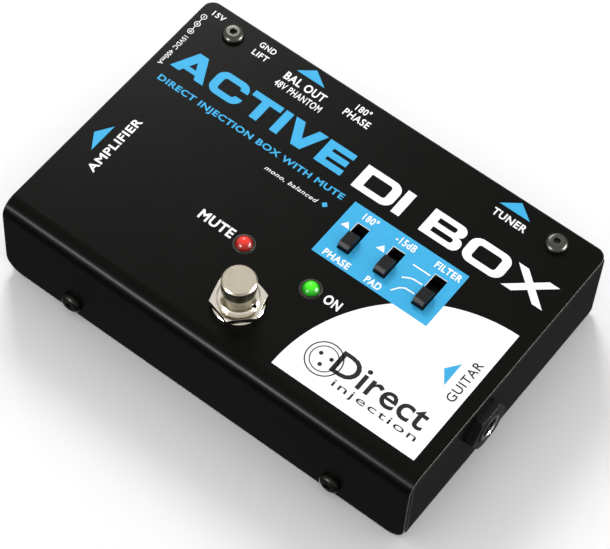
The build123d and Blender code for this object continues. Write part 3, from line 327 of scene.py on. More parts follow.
@dataclass(frozen=True)
class Metal(Finish):
    """Bare or plated metal with fine marks that run one way.

    Attributes:
        lay: how the marks run.
        centre: plan place of the axis of turned rings.
        dull: colour of its duller clouds.
        clouds: spacing in millimetres of those clouds.
    """

    spread: ClassVar[float] = 0.07
    lay: Lay = Lay.TUMBLED
    centre: Point = (0.0, 0.0)
    dull: str = "#8A8780"
    clouds: float = 3.5

    def paint(self, on: Surface) -> None:
        """Add the marks of the metal's making."""
        on.shader.inputs["Metallic"].default_value = 1.0
        if self.lay is Lay.TURNED:
            values = {"Scale": WAVE / (self.grain * MM), "Distortion": 0.6, "Detail": 3.0}
            links = {"Vector": (on.place(self.centre), "Vector")}
            marks = on.add("ShaderNodeTexWave", values, links, wave_type="RINGS", rings_direction="Z")
        else:
            stretch = (14.0, 1.0) if self.lay is Lay.ROLLED else (1.0, 1.0)
            marks = on.marks(self.grain, stretch, 3.0)
        span = {"From Min": 0.52, "From Max": 0.8, "To Max": 0.6}
        on.tint(on.add("ShaderNodeMapRange", span, {"Value": (on.marks(self.clouds), 0)}), self.dull)
        on.vary(marks)
        bevel, _ = on.edges(0.15)
        on.emboss(marks, bevel)


@dataclass(frozen=True)
class Moulding(Finish):
    """Injection-moulded plastic: an even fine grain, a little paler on its handled edges.

    Attributes:
        worn: colour of its edges.
    """

    spread: ClassVar[float] = 0.07
    worn: str = "#4A4A48"

    def paint(self, on: Surface) -> None:
        """Add mould grain and handled edges."""
        grain = on.marks(self.grain, detail=3.0)
        bevel, share = on.edges(0.2)
        on.tint(share, self.worn)
        on.vary(grain)
        on.emboss(grain, bevel)


@dataclass(frozen=True)
class CastLens(Finish):
    """Tinted epoxy cast round a lamp die: deep colour at the rim and a brighter heart.

    Attributes:
        heart: colour over the die.
        centre: plan place of the lamp's axis.
        glow: strength of its light.
        radius: radius of the lens in millimetres.
    """

    heart: str = "#FFFFFF"
    centre: Point = (0.0, 0.0)
    glow: float = 0.0
    radius: float = 2.5

    def paint(self, on: Surface) -> None:
        """Shade from rim to heart and add the clear skin."""
        links = {0: (on.place(self.centre), "Vector")}
        flat = on.add("ShaderNodeVectorMath", {1: (1.0, 1.0, 0.0)}, links, operation="MULTIPLY")
        reach = on.add("ShaderNodeVectorMath", links={0: (flat, "Vector")}, operation="LENGTH")
        rim = self.radius * MM
        span = {"From Min": 0.15 * rim, "From Max": rim, "To Min": 1.0, "To Max": 0.0}
        links = {"Value": (reach, "Value")}
        share = on.add("ShaderNodeMapRange", span, links, interpolation_type="SMOOTHSTEP")
        on.feed("Emission Color", on.tint(share, self.heart), 2)
        skin = {"Emission Strength": self.glow, "Coat Weight": 0.35, "Coat Roughness": 0.22}
        for socket, value in skin.items():
            on.shader.inputs[socket].default_value = value
        on.emboss(on.marks(self.grain))


@dataclass(frozen=True)
class Banded(Finish):
    """A wound, stacked or etched surface with bands of a second colour.

    Attributes:
        second: the bands' colour.
        pitch: distance between bands in millimetres.
        along: axis that the bands step along.
        metal: how metallic it is.
        share: where in each wave the band begins.
    """

    spread: ClassVar[float] = 0.08
    second: str = "#000000"
    pitch: float = 1.0
    along: str = "X"
    metal: float = 0.0
    share: float = 0.5

    def paint(self, on: Surface) -> None:
        """Add the bands and a fine grain."""
        on.shader.inputs["Metallic"].default_value = self.metal
        values = {"Scale": BAND_WAVE / (self.pitch * MM), "Distortion": 0.3, "Detail": 1.0}
        links = {"Vector": (on.place(), "Vector")}
        bands = on.add("ShaderNodeTexWave", values, links, bands_direction=self.along)
        span = {"From Min": self.share - 0.08, "From Max": self.share + 0.08}
        on.tint(on.add("ShaderNodeMapRange", span, {"Value": (bands, "Fac")}), self.second)
        on.vary(on.marks(self.grain))
        on.emboss(bands)


@dataclass(frozen=True)
class SolderMask(Finish):
    """Glass laminate under green mask: glossy, with paler copper runs showing under it.

    Attributes:
        copper: colour of the runs under the mask.
        cell: distance between runs in millimetres.
    """

    copper: str = "#3F7A45"
    cell: float = 9.0

    def paint(self, on: Surface) -> None:
        """Add copper runs under the mask."""
        values = {"Scale": 1 / (self.cell * MM), "Mortar Size": 0.045, "Mortar": linear(self.copper)}
        values |= {"Color1": linear(self.colour), "Color2": linear(self.colour)}
        cells = on.add("ShaderNodeTexBrick", values, {"Vector": (on.place(), "Vector")})
        on.feed("Base Color", cells, "Color")
        grain = on.marks(self.grain)
        on.vary(grain)
        on.emboss(grain)


SWITCH_AXIS = (69.85, 16.4)
RED_LAMP = (59.5, 32.2)
GREEN_LAMP = (82.5, 32.2)

# Peel of 1.2 mm spacing is drawn as it is; it shows as a faint mottling of the sheen. The pale edge colour,
# #B4B4AC, is partly wear and partly a painted highlight along the sheet's arris.
BLACK_COAT = PowderCoat("satin_black_powder_coat", "#0A0A08", 0.28, 1.2, 0.008, 0.055, "#B4B4AC")
# The same coat on the chassis, a little duller than the top; its paler edges are likewise partly wear and
# partly a painted highlight.
CHASSIS_COAT = PowderCoat("satin_black_powder_coat_chassis", "#0B0B09", 0.4, 1.2, 0.012, 0.08)
# Screen inks: flat colour with a fine edge, matt against the satin coat.
WHITE_INK = ScreenInk("white_screen_ink", "#FFFFFF", 0.55, 1.2, 0.006, 0.3, "#F4F4F2")
BLUE_INK = ScreenInk("sky_blue_screen_ink", "#2AA9DE", 0.55, 1.2, 0.006, 0.3, "#35B2E6")
BLACK_INK = ScreenInk("black_screen_ink", "#121212", 0.5, 1.2, 0.006, 0.2, "#1C1C1C")
# Satin nickel: warm and pale, with faint turning rings on the cap.
CAP_NICKEL = Metal(
    "satin_nickel_turned", "#9E9788", 0.32, 0.35, 0.003, 0.5, Lay.TURNED, SWITCH_AXIS, "#8D8676"
)
# Bright nickel: a clear warm mirror, softened by tumbling.
NICKEL = Metal("bright_nickel_plate", "#DCD6C8", 0.15, 0.6, 0.002, dull="#C6BFAE")
# Dulled nickel: grey and soft, so that only its lip catches the light.
DULLED_NICKEL = Metal("dulled_nickel_bezel", "#3C3A35", 0.25, 0.5, 0.002, dull="#2C2A26")
# Blackened button heads: dark, with a clear ring of light round the crown.
DARK_STEEL = Metal("black_nickel_screw_steel", "#4C4C47", 0.3, 0.5, 0.003, dull="#3B3B37")
# Blacked heads on the front wall: almost lost against the coat.
BLACKED_STEEL = Metal("blacked_button_head_steel", "#262624", 0.38, 0.5, 0.003, dull="#1A1A19")
# Bright zinc on steel: bluish grey, spangled and a little dull.
ZINC_STEEL = Metal("bright_zinc_plated_steel", "#B9BCBC", 0.32, 0.8, 0.004, dull="#9A9E9E")
# Drawn spring wire: a grey sheen with marks along it.
SPRING = Metal("drawn_spring_steel", "#8E9090", 0.3, 0.4, 0.003, dull="#6F7272")
# Polished chrome: near colourless mirror.
CHROME = Metal("polished_chrome_plate", "#DADCDE", 0.1, 0.9, 0.001, dull="#C6C9CC")
# Tinned brass: soft silver-yellow, matt where the tin flowed.
TINNED = Metal("hot_tinned_brass", "#C9BF9A", 0.36, 0.5, 0.004, dull="#B0A074")
# Die-cast zinc under satin nickel: even and soft.
CAST_ZINC = Metal("satin_nickel_cast_zinc", "#A9A8A4", 0.4, 0.7, 0.006, dull="#8C8B88")
# Pressed steel switch can: rolled marks along the strip.
CAN_STEEL = Metal("rolled_blacked_switch_can", "#3B3B38", 0.4, 0.3, 0.004, lay=Lay.ROLLED, dull="#2C2C2A")
# Knobs of black ABS: low sheen and fine spark grain.
KNOB_ABS = Moulding("spark_grained_black_abs", "#090908", 0.42, 0.25, 0.006, 0.16, "#2A2A27")
# Black nylon nut and jack body: slightly waxy sheen.
NYLON = Moulding("moulded_black_nylon", "#121212", 0.4, 0.4, 0.006, 0.35, "#3A3A38")
# Dark brown resin of a switch housing: dull, with a fine grain.
PHENOLIC = Moulding("moulded_brown_phenolic", "#2C1C12", 0.5, 0.3, 0.006, 0.4, "#4A3324")
# Glass-filled plastic: matt and slightly rough where the fibres reach the skin.
INSERT_PLASTIC = Moulding("glass_filled_black_polyamide", "#161616", 0.52, 0.3, 0.008, 0.35, "#383836")
# Black epoxy: a dry grey-black that takes no highlight.
CHIP_PLASTIC = Moulding("moulded_epoxy_chip_body", "#1B1B1C", 0.55, 0.25, 0.005, 0.35, "#3A3A3A")
# Extruded wire cover: a smooth red with a soft highlight along it.
SLEEVING = Moulding("extruded_red_wire_sleeving", "#A32A20", 0.45, 0.5, 0.003, 0.4, "#C04A3C")
# Shrunk sleeve on the capacitors: dark blue with a pale stripe down it.
SHRINK = Banded(
    "shrunk_capacitor_sleeve", "#1A2440", 0.35, 0.6, 0.004, 0.45, "#27345A", 6.0, "X", 0.0, 0.75
)
# Sand lacquer ringed with brown bands.
LACQUER = Banded("baked_resistor_lacquer", "#C9A56B", 0.35, 0.4, 0.003, 0.45, "#8A3B20", 1.4, "X", 0.0, 0.8)
# Amber tape with the step of each turn showing.
TAPE = Banded("wound_polyester_tape", "#D9B23C", 0.4, 0.7, 0.01, 0.45, "#C49A2A", 3.0, "Z", 0.0, 0.6)
# Stacked laminations of half a millimetre, drawn 0.9 mm apart so that they show.
LAMINATED = Banded("stacked_silicon_iron", "#6A6762", 0.5, 0.6, 0.02, 0.4, "#3E3C39", 0.9, "X", 0.7, 0.5)
# Green mask over copper: glossy, with paler runs under it.
BOARD = SolderMask("green_solder_masked_laminate", "#1E4F2B", 0.28, 0.8, 0.004, 0.5)
# Dark grey rubber: dull, with a coarse skin.
RUBBER = Moulding("moulded_nitrile_rubber", "#1D1D1C", 0.82, 0.6, 0.03, 0.25, "#34342F")
# Tinted lenses: dark at the rim, lit at the heart, with a clear skin.
RED_LENS = CastLens("red_cast_epoxy_lens", "#8E0A06", 0.3, 1.5, 0.002, 0.3, "#E02A18", RED_LAMP, 0.35)
GREEN_LENS = CastLens("green_cast_epoxy_lens", "#0A7A00", 0.3, 1.5, 0.002, 0.3, "#3BE000", GREEN_LAMP, 0.7)
# Matt white paint that takes only the shade of what stands on it.
FLOOR_WHITE = OneSided("matt_white_floor", "#FAFAFA", 0.9, 4.0, 0.001, 0.1)


# ---------------------------------------------------------------- making and placing pieces


def piece(name: str, mesh: bpy.types.Mesh, body: str, finish: Finish | None = None):
    """Make a mesh a named piece that rides on a body.

    Args:
        name: the piece's name.
        mesh: its mesh, in place in the frame.
        body: the CAD body that carries it.
        finish: its finish, unless the mesh already has materials.

    Returns:
        The object.
    """
    made = bpy.data.objects.new(name, mesh)
    mesh.name = name
    bpy.context.scene.collection.objects.link(made)
    if finish:
        mesh.materials.clear()
        mesh.materials.append(finish.material())
    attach(made, body)
    log.info("built %s, %d faces, on %s", name, len(mesh.polygons), body)
    return made


def join(meshes: list[bpy.types.Mesh]) -> bpy.types.Mesh:
    """Put several meshes into one and remove them."""
    kept = bmesh.new()
    for mesh in meshes:
        kept.from_mesh(mesh)
        bpy.data.meshes.remove(mesh)
    joined = bpy.data.meshes.new("joined")
    kept.to_mesh(joined)
    kept.free()
    return joined


def prism(outlines: list[list[Point]], low: float, high: float) -> bpy.types.Mesh:
    """Raise a flat outline, with windows, into a closed thin solid.

    Args:
        outlines: the outer line and then each window, in plan millimetres.
        low: height of its underside.
        high: height of its top.

    Returns:
        The mesh, in metres in the frame.
    """
    loops = []
    for number, outline in enumerate(outlines):
        area = sum(a[0] * b[1] - b[0] * a[1] for a, b in zip(outline, outline[1:] + outline[:1]))
        loops.append(outline if (area > 0) == (number == 0) else outline[::-1])
    points = [p for loop in loops for p in loop]
    faces = tessellate_polygon([[Vector((x, y, 0.0)) for x, y in loop] for loop in loops])
    count = len(points)
    vertices = [at(x, y, high) for x, y in points] + [at(x, y, low) for x, y in points]
    polygons = []
    for a, b, c in faces:
        (ax, ay), (bx, by), (cx, cy) = points[a], points[b], points[c]
        turn = (bx - ax) * (cy - ay) - (cx - ax) * (by - ay)
        up = (a, b, c) if turn > 0 else (a, c, b)
        polygons.append(up)
        polygons.append(tuple(index + count for index in reversed(up)))
    start = 0
    for loop in loops:
        size = len(loop)
        for step in range(size):
            here, there = start + step, start + (step + 1) % size
            polygons.append((there, here, here + count, there + count))
        start += size
    mesh = bpy.data.meshes.new("prism")
    mesh.from_pydata([tuple(v) for v in vertices], [], polygons)
    mesh.validate()
    return mesh


def disc(
    centre: Point, radius: float, steps: int = 48, start: float = 0.0, sweep: float = 360.0
) -> list[Point]:
    """Give points round a circle or along an arc.

    Args:
        centre: its centre.
        radius: its radius.
        steps: number of points.
        start: angle of the first point in degrees.
        sweep: angle to the last point; a full turn leaves the last point out.

    Returns:
        The points.
    """
    spans = steps if abs(sweep) >= 360 else steps - 1
    angles = [math.radians(start + sweep * step / spans) for step in range(steps)]
    return [(centre[0] + radius * math.cos(a), centre[1] + radius * math.sin(a)) for a in angles]


def box_line(left: float, front: float, right: float, rear: float) -> list[Point]:
    """Give the corners of an upright rectangle in plan."""
    return [(left, front), (right, front), (right, rear), (left, rear)]


def stroke(points: list[Point], width: float) -> list[Point]:
    """Turn a line through points into the closed outline of a ribbon of a width."""
    sides: tuple[list[Point], list[Point]] = ([], [])
    for index, point in enumerate(points):
        before = Vector(points[max(index - 1, 0)])
        after = Vector(points[min(index + 1, len(points) - 1)])
        run = (after - before).normalized()
        across = Vector((-run.y, run.x)) * width / 2
        sides[0].append((point[0] + across.x, point[1] + across.y))
        sides[1].append((point[0] - across.x, point[1] - across.y))
    return sides[1] + sides[0][::-1]


@dataclass(frozen=True)
class Line:
    """One line of lettering.

    Attributes:
        words: what it says.
        start: plan place of the foot of its first letter.
        size: its length and the height of its capitals.
        reading: which way it runs.
        weight: how much bolder than the plain letters, as a share of their size.
        slant: how far the letters lean.
        spacing: gap between letters, as a share of the usual one.
    """

    words: str
    start: Point
    size: Point
    reading: Reading = Reading.RIGHT
    weight: float = 0.02
    slant: float = 0.0
    spacing: float = 1.1

    def mesh(self, low: float, high: float) -> bpy.types.Mesh:
        """Make the letters as closed thin solids between two heights in millimetres."""
        data = bpy.data.curves.new("letters", "FONT")
        data.body = self.words
        data.offset = self.weight
        data.extrude = 0.5
        data.shear = self.slant
        data.space_character = self.spacing
        data.resolution_u = 4
        writer = bpy.data.objects.new("letters", data)
        bpy.context.scene.collection.objects.link(writer)
        graph = bpy.context.evaluated_depsgraph_get()
        mesh = bpy.data.meshes.new_from_object(writer.evaluated_get(graph))
        bpy.data.objects.remove(writer)
        xs = [v.co.x for v in mesh.vertices]
        ys = [v.co.y for v in mesh.vertices]
        spread = (max(xs) - min(xs), max(ys) - min(ys))
        turn = Matrix.Rotation(math.radians(self.reading.value), 2)
        for vertex in mesh.vertices:
            along = (vertex.co.x - min(xs)) / spread[0] * self.size[0]
            across = (vertex.co.y - min(ys)) / spread[1] * self.size[1]
            spot = turn @ Vector((along, across))
            height = high if vertex.co.z > 0 else low
            vertex.co = at(self.start[0] + spot.x, self.start[1] + spot.y, height)
        return mesh


def rounded(left: float, front: float, right: float, rear: float, radii: tuple[float, ...]) -> list[Point]:
    """Give a rectangle whose corners are rounded.

    Args:
        left: its left edge.
        front: its front edge.
        right: its right edge.
        rear: its rear edge.
        radii: radius at the rear right, rear left, front left and front right; none leaves it square.

    Returns:
        The points, anticlockwise from the rear right.
    """
    points: list[Point] = []
    signs = ((1, 1), (-1, 1), (-1, -1), (1, -1))
    for number, ((across, along), radius) in enumerate(zip(signs, radii)):
        x = right if across > 0 else left
        y = rear if along > 0 else front
        if radius > 0:
            points += disc((x - across * radius, y - along * radius), radius, ARC_POINTS, 90 * number, 90)
        else:
            points.append((x, y))
    return points


@dataclass(frozen=True)
class BlockWord:
    """A word in wide, heavy block capitals, drawn from stems and bars.

    Attributes:
        words: what it says, in the letters that have a width here.
        start: plan place of the foot of its first letter.
        size: its length and height.
        stem: width of an upright, before the word is fitted to its length.
        bar: height of a crossbar.
        gap: space between letters.
        corner: outer radius of a round letter.
        slant_share: how much wider a slanting leg is than an upright.
    """

    widths: ClassVar[dict[str, float]] = dict(
        zip("ABCDEIOTVX ", (11.2, 11.2, 10.6, 11.4, 8.8, 2.5, 12.0, 9.6, 10.8, 12.2, 4.2))
    )
    words: str
    start: Point
    size: Point
    stem: float = 2.5
    bar: float = 2.05
    gap: float = 0.85
    corner: float = 2.9
    slant_share: float = 1.2

    def letter(self, letter: str) -> list[list[Point]]:
        """Give the outlines of one letter from its own lower left corner, the outer line first."""
        wide, high, stem, bar, r = self.widths[letter], self.size[1], self.stem, self.bar, self.corner
        middle, half, inner = wide / 2, high / 2, max(r - bar, 0.3)
        leg = stem * self.slant_share
        notch = high * (wide - 2 * leg) / (wide - leg)
        left, right = (wide - leg) / 2, (wide + leg) / 2
        if letter == "I":
            return [box_line(0, 0, stem, high)]
        if letter == "T":
            left, right, under = (wide - stem) / 2, (wide + stem) / 2, high - bar
            line = [(left, 0), (right, 0), (right, under), (wide, under), (wide, high)]
            return [line + [(0, high), (0, under), (left, under)]]
        if letter == "E":
            low, top, under, tip = half - bar / 2, half + bar / 2, high - bar, wide - 0.4
            line = [(0, 0), (wide, 0), (wide, bar), (stem, bar), (stem, low), (tip, low), (tip, top)]
            return [line + [(stem, top), (stem, under), (wide, under), (wide, high), (0, high)]]
        if letter == "V":
            line = [(left, 0), (right, 0), (wide, high), (wide - leg, high)]
            return [line + [(middle, high - notch), (leg, high), (0, high)]]
        if letter == "X":
            line = [(0, 0), (leg, 0), (middle, notch / 2), (wide - leg, 0), (wide, 0), (right, half)]
            line += [(wide, high), (wide - leg, high), (middle, high - notch / 2), (leg, high)]
            return [line + [(0, high), (left, half)]]
        if letter == "A":
            low, top, lean = 0.16 * high, 0.16 * high + 0.75 * bar, left / high
            line = [(0, 0), (leg, 0), (leg + lean * low, low), (wide - leg - lean * low, low)]
            line += [(wide - leg, 0), (wide, 0), (right, high), (left, high)]
            return [line, [(leg + lean * top, top), (wide - leg - lean * top, top), (middle, notch)]]
        if letter == "D":
            hole = rounded(stem, bar, wide - stem, high - bar, (inner, 0, 0, inner))
            return [rounded(0, 0, wide, high, (r, 0, 0, r)), hole]
        if letter == "B":
            waist, seam, rim, web = 0.75, half + 0.2, 0.88 * bar, 0.42 * bar
            lower = rounded(0, 0, wide, seam, (1.9, 0, 0, 2.2))
            upper = rounded(0, seam, wide - waist, high, (2.2, 0, 0, 1.6))
            line = upper[: ARC_POINTS + 1] + [(0, 0)] + lower[-ARC_POINTS:] + lower[:ARC_POINTS]
            first = rounded(stem, rim, wide - stem, half - web, (0.7, 0, 0, 0.7))
            second = rounded(stem, half + web, wide - waist - stem, high - rim, (0.7, 0, 0, 0.7))
            return [line + upper[-ARC_POINTS:], first, second]
        if letter in "CO":
            outer = rounded(0, 0, wide, high, (r,) * 4)
            cut = rounded(stem, bar, wide - stem, high - bar, (inner,) * 4)
            if letter == "O":
                return [outer, cut]
            low, top = 0.36 * high, 0.64 * high
            line = [(wide, top)] + outer + [(wide, low), (wide - stem, low)]
            return [line + cut[::-1] + [(wide - stem, top)]]
        return []

    def mesh(self, low: float, high: float) -> bpy.types.Mesh:
        """Make the word as closed thin solids between two heights in millimetres."""
        length = sum(self.widths[letter] + self.gap for letter in self.words) - self.gap
        fit, along, made = self.size[0] / length, 0.0, []
        for letter in self.words:
            outlines = [
                [(self.start[0] + fit * (along + x), self.start[1] + y) for x, y in outline]
                for outline in self.letter(letter)
            ]
            if outlines:
                made.append(prism(outlines, low, high))
            along += self.widths[letter] + self.gap
        return join(made)


class RepeatTree:
    """A geometry tree for a shape that repeats, with named inputs for its sizes."""

    def __init__(self, name: str, inputs: dict[str, tuple[str, float]]) -> None:
        """Open the tree; each input has a socket type and a default value."""
        self.tree = bpy.data.node_groups.new(name, "GeometryNodeTree")
        self.tree.interface.new_socket("Geometry", in_out="OUTPUT", socket_type="NodeSocketGeometry")
        self.sockets = {}
        for label, (kind, value) in inputs.items():
            socket = self.tree.interface.new_socket(label, in_out="INPUT", socket_type=kind)
            socket.default_value = value
            self.sockets[label] = socket.identifier
        self.entry = put(self.tree, "NodeGroupInput")

    def add(self, kind: str, values: dict | None = None, links: dict | None = None, **settings):
        """Add a node to the tree; a link may be the name of an input."""
        named = {
            key: (self.entry, source) if isinstance(source, str) else source
            for key, source in (links or {}).items()
        }
        return put(self.tree, kind, values, named, **settings)

    def sweep(self, line, radius: str):
        """Sweep a round wire along the curve of a node; its radius comes from the named input."""
        ring = self.add("GeometryNodeCurvePrimitiveCircle", {"Resolution": 10}, {"Radius": radius})
        links = {"Curve": (line, "Curve"), "Profile Curve": (ring, "Curve")}
        return self.add("GeometryNodeCurveToMesh", {"Fill Caps": True}, links)

    def scatter(self, points, shape: tuple, finish: Finish) -> None:
        """End the tree with a shape, as (node, output), set on every point of a mesh node."""
        links = {"Points": (points, "Mesh"), "Instance": shape}
        self.close(self.add("GeometryNodeInstanceOnPoints", links=links), "Instances", finish)

    def close(self, shape, output: str, finish: Finish) -> None:
        """End the tree: realise a node's instances and set the material."""
        real = self.add("GeometryNodeRealizeInstances", links={0: (shape, output)})
        painted = self.add("GeometryNodeSetMaterial", links={"Geometry": (real, 0)})
        painted.inputs["Material"].default_value = finish.material()
        self.add("NodeGroupOutput", links={0: (painted, 0)})

    def grow(self, values: dict[str, float], place: Matrix) -> bpy.types.Mesh:
        """Run the tree for its inputs' values and keep the result, moved to its place, as a plain mesh."""
        host = bpy.data.objects.new("host", bpy.data.meshes.new("host"))
        bpy.context.scene.collection.objects.link(host)
        modifier = host.modifiers.new("grow", "NODES")
        modifier.node_group = self.tree
        for label, value in values.items():
            modifier[self.sockets[label]] = value
        graph = bpy.context.evaluated_depsgraph_get()
        mesh = bpy.data.meshes.new_from_object(host.evaluated_get(graph))
        host.modifiers.remove(modifier)
        bpy.data.objects.remove(host)
        mesh.transform(place)
        return mesh


FLOAT = "NodeSocketFloat"
INT = "NodeSocketInt"


class HelixTree(RepeatTree):
    """A round ridge or wire swept along a helix, for threads and springs."""

    def __init__(self, name: str, finish: Finish) -> None:
        """Open the tree and sweep the ridge."""
        sizes = {"Radius": 0.006, "Turns": 2.0, "Height": 0.001, "Ridge": 0.0002}
        super().__init__(name, {label: (FLOAT, value) for label, value in sizes.items()})
        feeds = {"Start Radius": "Radius", "End Radius": "Radius", "Rotations": "Turns", "Height": "Height"}
        helix = self.add("GeometryNodeCurveSpiral", {"Resolution": 48}, feeds)
        self.close(self.sweep(helix, "Ridge"), "Mesh", finish)

    def wind(self, radius: float, turns: float, tall: float, ridge: float, foot: Vector) -> bpy.types.Mesh:
        """Run the tree for sizes in millimetres, with its axis starting at the foot."""
        values = {"Radius": radius * MM, "Turns": turns, "Height": tall * MM, "Ridge": ridge * MM}
        return self.grow(values, Matrix.Translation(foot))


# ---------------------------------------------------------------- sub-assemblies


class SubAssembly:
    """A group of CAD nodes, with the finish of each by name."""

    finishes: ClassVar[dict[str, Finish]] = {}

    def build(self) -> None:
        """Give the group's nodes their finishes."""
        for name, finish in self.finishes.items():
            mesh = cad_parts[name].data
            mesh.materials.clear()
            mesh.materials.append(finish.material())
            log.info("dressed %s in %s", name, finish.name)


class CaseShell(SubAssembly):
    """The folded cover, the chassis and the rear channel."""

    finishes = {"top_cover": BLACK_COAT, "base_chassis": CHASSIS_COAT, "rear_channel": CHASSIS_COAT}


class Fasteners(SubAssembly):
    """Screws, clinch nuts and rivets that hold the case together."""

    finishes = {
        "cover_screws": DARK_STEEL,
        "front_screws": BLACKED_STEEL,
        "xlr_screws": BLACKED_STEEL,
        "cover_clinch_nuts": ZINC_STEEL,
        "front_clinch_nuts": ZINC_STEEL,
        "channel_rivets": ZINC_STEEL,
    }


@dataclass
class CasePrinting(SubAssembly):
    """Screen printing on the top: titles, labels, arrows, two colour panels and their graphics.

    Attributes:
        ink: thickness of the ink film, drawn thick enough to stay clear of the coat.
        blue_panel: left, front, right and rear of the blue panel.
        quarter_centre: centre of the white quarter panel's arc.
        quarter_radius: its radius.
        quarter_front: its front edge.
        slots: for each window, its middle x and its length.
        slot_width: width of a window.
        slot_rear: rear edge of the windows.
        underprint: width of the white line by each window.
        knob_length: length of a knob along its slot, which hides the rest of that line.
        titles: the large words and the line under them, each with its ink.
        labels: white words on the black coat.
        panel_labels: white words on the blue panel.
        dark_labels: black words on the white panel.
        arrows: corners of each connector's arrow; the last is on the white panel.
        pointers: corners of the two small arrows by the switches.
        curves: points of each filter curve.
        polarity: centres of the three linked circles of the supply's polarity.
        polarity_radius: their radius.
        polarity_line: width of their lines.
        sign_half: half the length of the lines inside them.
        dot_radius: radius of the dot inside the middle one.
        socket_symbol: centre of the socket symbol.
        socket_rings: radius and line width of its rings.
        pin_circle: radius of the circle that its pins stand on.
        pin_radius: radius of a pin.
        curve_width: width of a filter curve.
        spot: centre of the small diamond.
    """

    ink: float = INK
    blue_panel: tuple[float, float, float, float] = (74.9, 42.35, 113.85, 62.55)
    quarter_centre: Point = (135.3, 8.6)
    quarter_radius: float = 47.1
    quarter_front: float = 7.3
    slots: tuple[Point, ...] = ((81.75, 10.1), (94.0, 10.1), (108.2, 11.7))
    slot_width: float = 4.1
    slot_rear: float = 57.3
    underprint: float = 0.14
    knob_length: float = 5.6
    titles: tuple[tuple[Line | BlockWord, Finish], ...] = (
        (BlockWord("ACTIVE", (5.7, 66.6), (60.6, 8.5)), BLUE_INK),
        (BlockWord("DI BOX", (70.5, 66.1), (65.0, 8.8)), WHITE_INK),
        (Line("DIRECT INJECTION BOX WITH MUTE", (5.8, 59.8), (65.8, 2.75), weight=0.026), BLUE_INK),
    )
    labels: tuple[Line, ...] = (
        Line("mono, balanced", (48.5, 55.0), (18.2, 1.6), weight=0.004, slant=0.25),
        Line("MUTE", (43.8, 31.0), (11.6, 3.3), weight=0.03),
        Line("ON", (87.1, 30.8), (5.2, 3.2), weight=0.03),
        Line("GND", (21.2, 87.8), (5.5, 2.0), weight=0.016),
        Line("LIFT", (21.1, 84.4), (5.3, 2.0), weight=0.016),
        Line("BAL OUT", (33.4, 83.3), (14.1, 2.9), weight=0.024),
        Line("48V PHANTOM", (32.6, 79.8), (16.1, 2.4), weight=0.01),
        Line("180°", (56.0, 87.4), (4.9, 2.4), weight=0.016),
        Line("PHASE", (54.0, 84.0), (8.8, 2.5), weight=0.016),
        Line("15V", (3.8, 88.0), (4.2, 1.9), weight=0.016),
        Line("TUNER", (106.3, 83.3), (11.1, 2.5), weight=0.024),
        Line("AMPLIFIER", (12.5, 24.2), (22.0, 2.7), Reading.REARWARD, 0.024),
        Line("15VDC", (2.3, 77.4), (5.6, 1.5), Reading.FORWARD, 0.004),
        Line("400mA", (2.3, 70.9), (6.0, 1.5), Reading.FORWARD, 0.004),
    )
    panel_labels: tuple[Line, ...] = (
        Line("180°", (79.7, 59.0), (4.7, 2.5), weight=0.022),
        Line("-15dB", (90.9, 59.0), (6.6, 2.4), weight=0.022),
        Line("FILTER", (104.3, 59.0), (8.6, 2.3), weight=0.026),
        Line("PHASE", (77.8, 43.1), (8.7, 2.3), weight=0.026),
        Line("PAD", (92.0, 43.1), (5.1, 2.3), weight=0.026),
    )
    dark_labels: tuple[Line, ...] = (
        Line("GUITAR", (133.4, 27.6), (14.5, 2.8), Reading.REARWARD, 0.006),
        Line("Direct", (101.4, 15.0), (30.0, 7.6), weight=0.012, spacing=1.02),
        Line("injection", (104.6, 10.9), (27.4, 3.0), weight=0.0, spacing=1.15),
    )
    arrows: tuple[tuple[Point, Point, Point], ...] = (
        ((3.9, 35.0), (7.2, 29.8), (7.2, 40.0)),
        ((35.0, 87.9), (44.9, 87.9), (39.6, 91.5)),
        ((106.4, 87.6), (116.6, 87.6), (111.4, 91.4)),
        ((125.3, 34.8), (128.3, 30.6), (128.3, 38.9)),
    )
    pointers: tuple[tuple[Point, Point, Point], ...] = (
        ((76.2, 54.0), (79.0, 54.0), (77.5, 56.0)),
        ((88.3, 54.0), (91.1, 54.0), (89.8, 56.0)),
    )
    curves: tuple[tuple[Point, ...], ...] = (
        ((99.5, 56.0), (105.3, 56.0)),
        ((99.5, 50.7), (101.0, 51.7), (102.4, 52.2), (105.3, 52.3)),
        ((99.6, 45.5), (101.0, 47.6), (102.3, 48.5), (105.3, 48.6)),
    )
    polarity: tuple[Point, ...] = ((2.6, 86.0), (2.7, 82.8), (2.8, 79.6))
    polarity_radius: float = 0.85
    polarity_line: float = 0.22
    sign_half: float = 0.45
    dot_radius: float = 0.3
    socket_symbol: Point = (98.5, 17.0)
    socket_rings: tuple[Point, ...] = ((5.3, 0.35), (4.0, 0.3))
    pin_circle: float = 2.0
    pin_radius: float = 0.62
    curve_width: float = 0.42
    spot: Point = (68.9, 56.3)

    def windows(self) -> list[list[Point]]:
        """Give the outlines of the three slots."""
        half = self.slot_width / 2
        return [box_line(x - half, self.slot_rear - long, x + half, self.slot_rear) for x, long in self.slots]

    def quarter(self) -> list[Point]:
        """Give the outline of the white panel, notched where the blue panel takes its place."""
        cx, cy = self.quarter_centre
        left, front, right, _ = self.blue_panel
        upper = math.degrees(math.acos((right - cx) / self.quarter_radius))
        lower = 180 - math.degrees(math.asin((front - cy) / self.quarter_radius))
        first = disc(self.quarter_centre, self.quarter_radius, 24, 90, upper - 90)
        second = disc(self.quarter_centre, self.quarter_radius, 48, lower, 180 - lower)
        tail = [(cx - self.quarter_radius, self.quarter_front), (cx, self.quarter_front)]
        return first + [(right, front)] + second + tail

    def layer(self, name: str, meshes: list[bpy.types.Mesh], finish: Finish) -> None:
        """Make one ink layer a piece of the case."""
        piece(name, join(meshes), "root", finish)

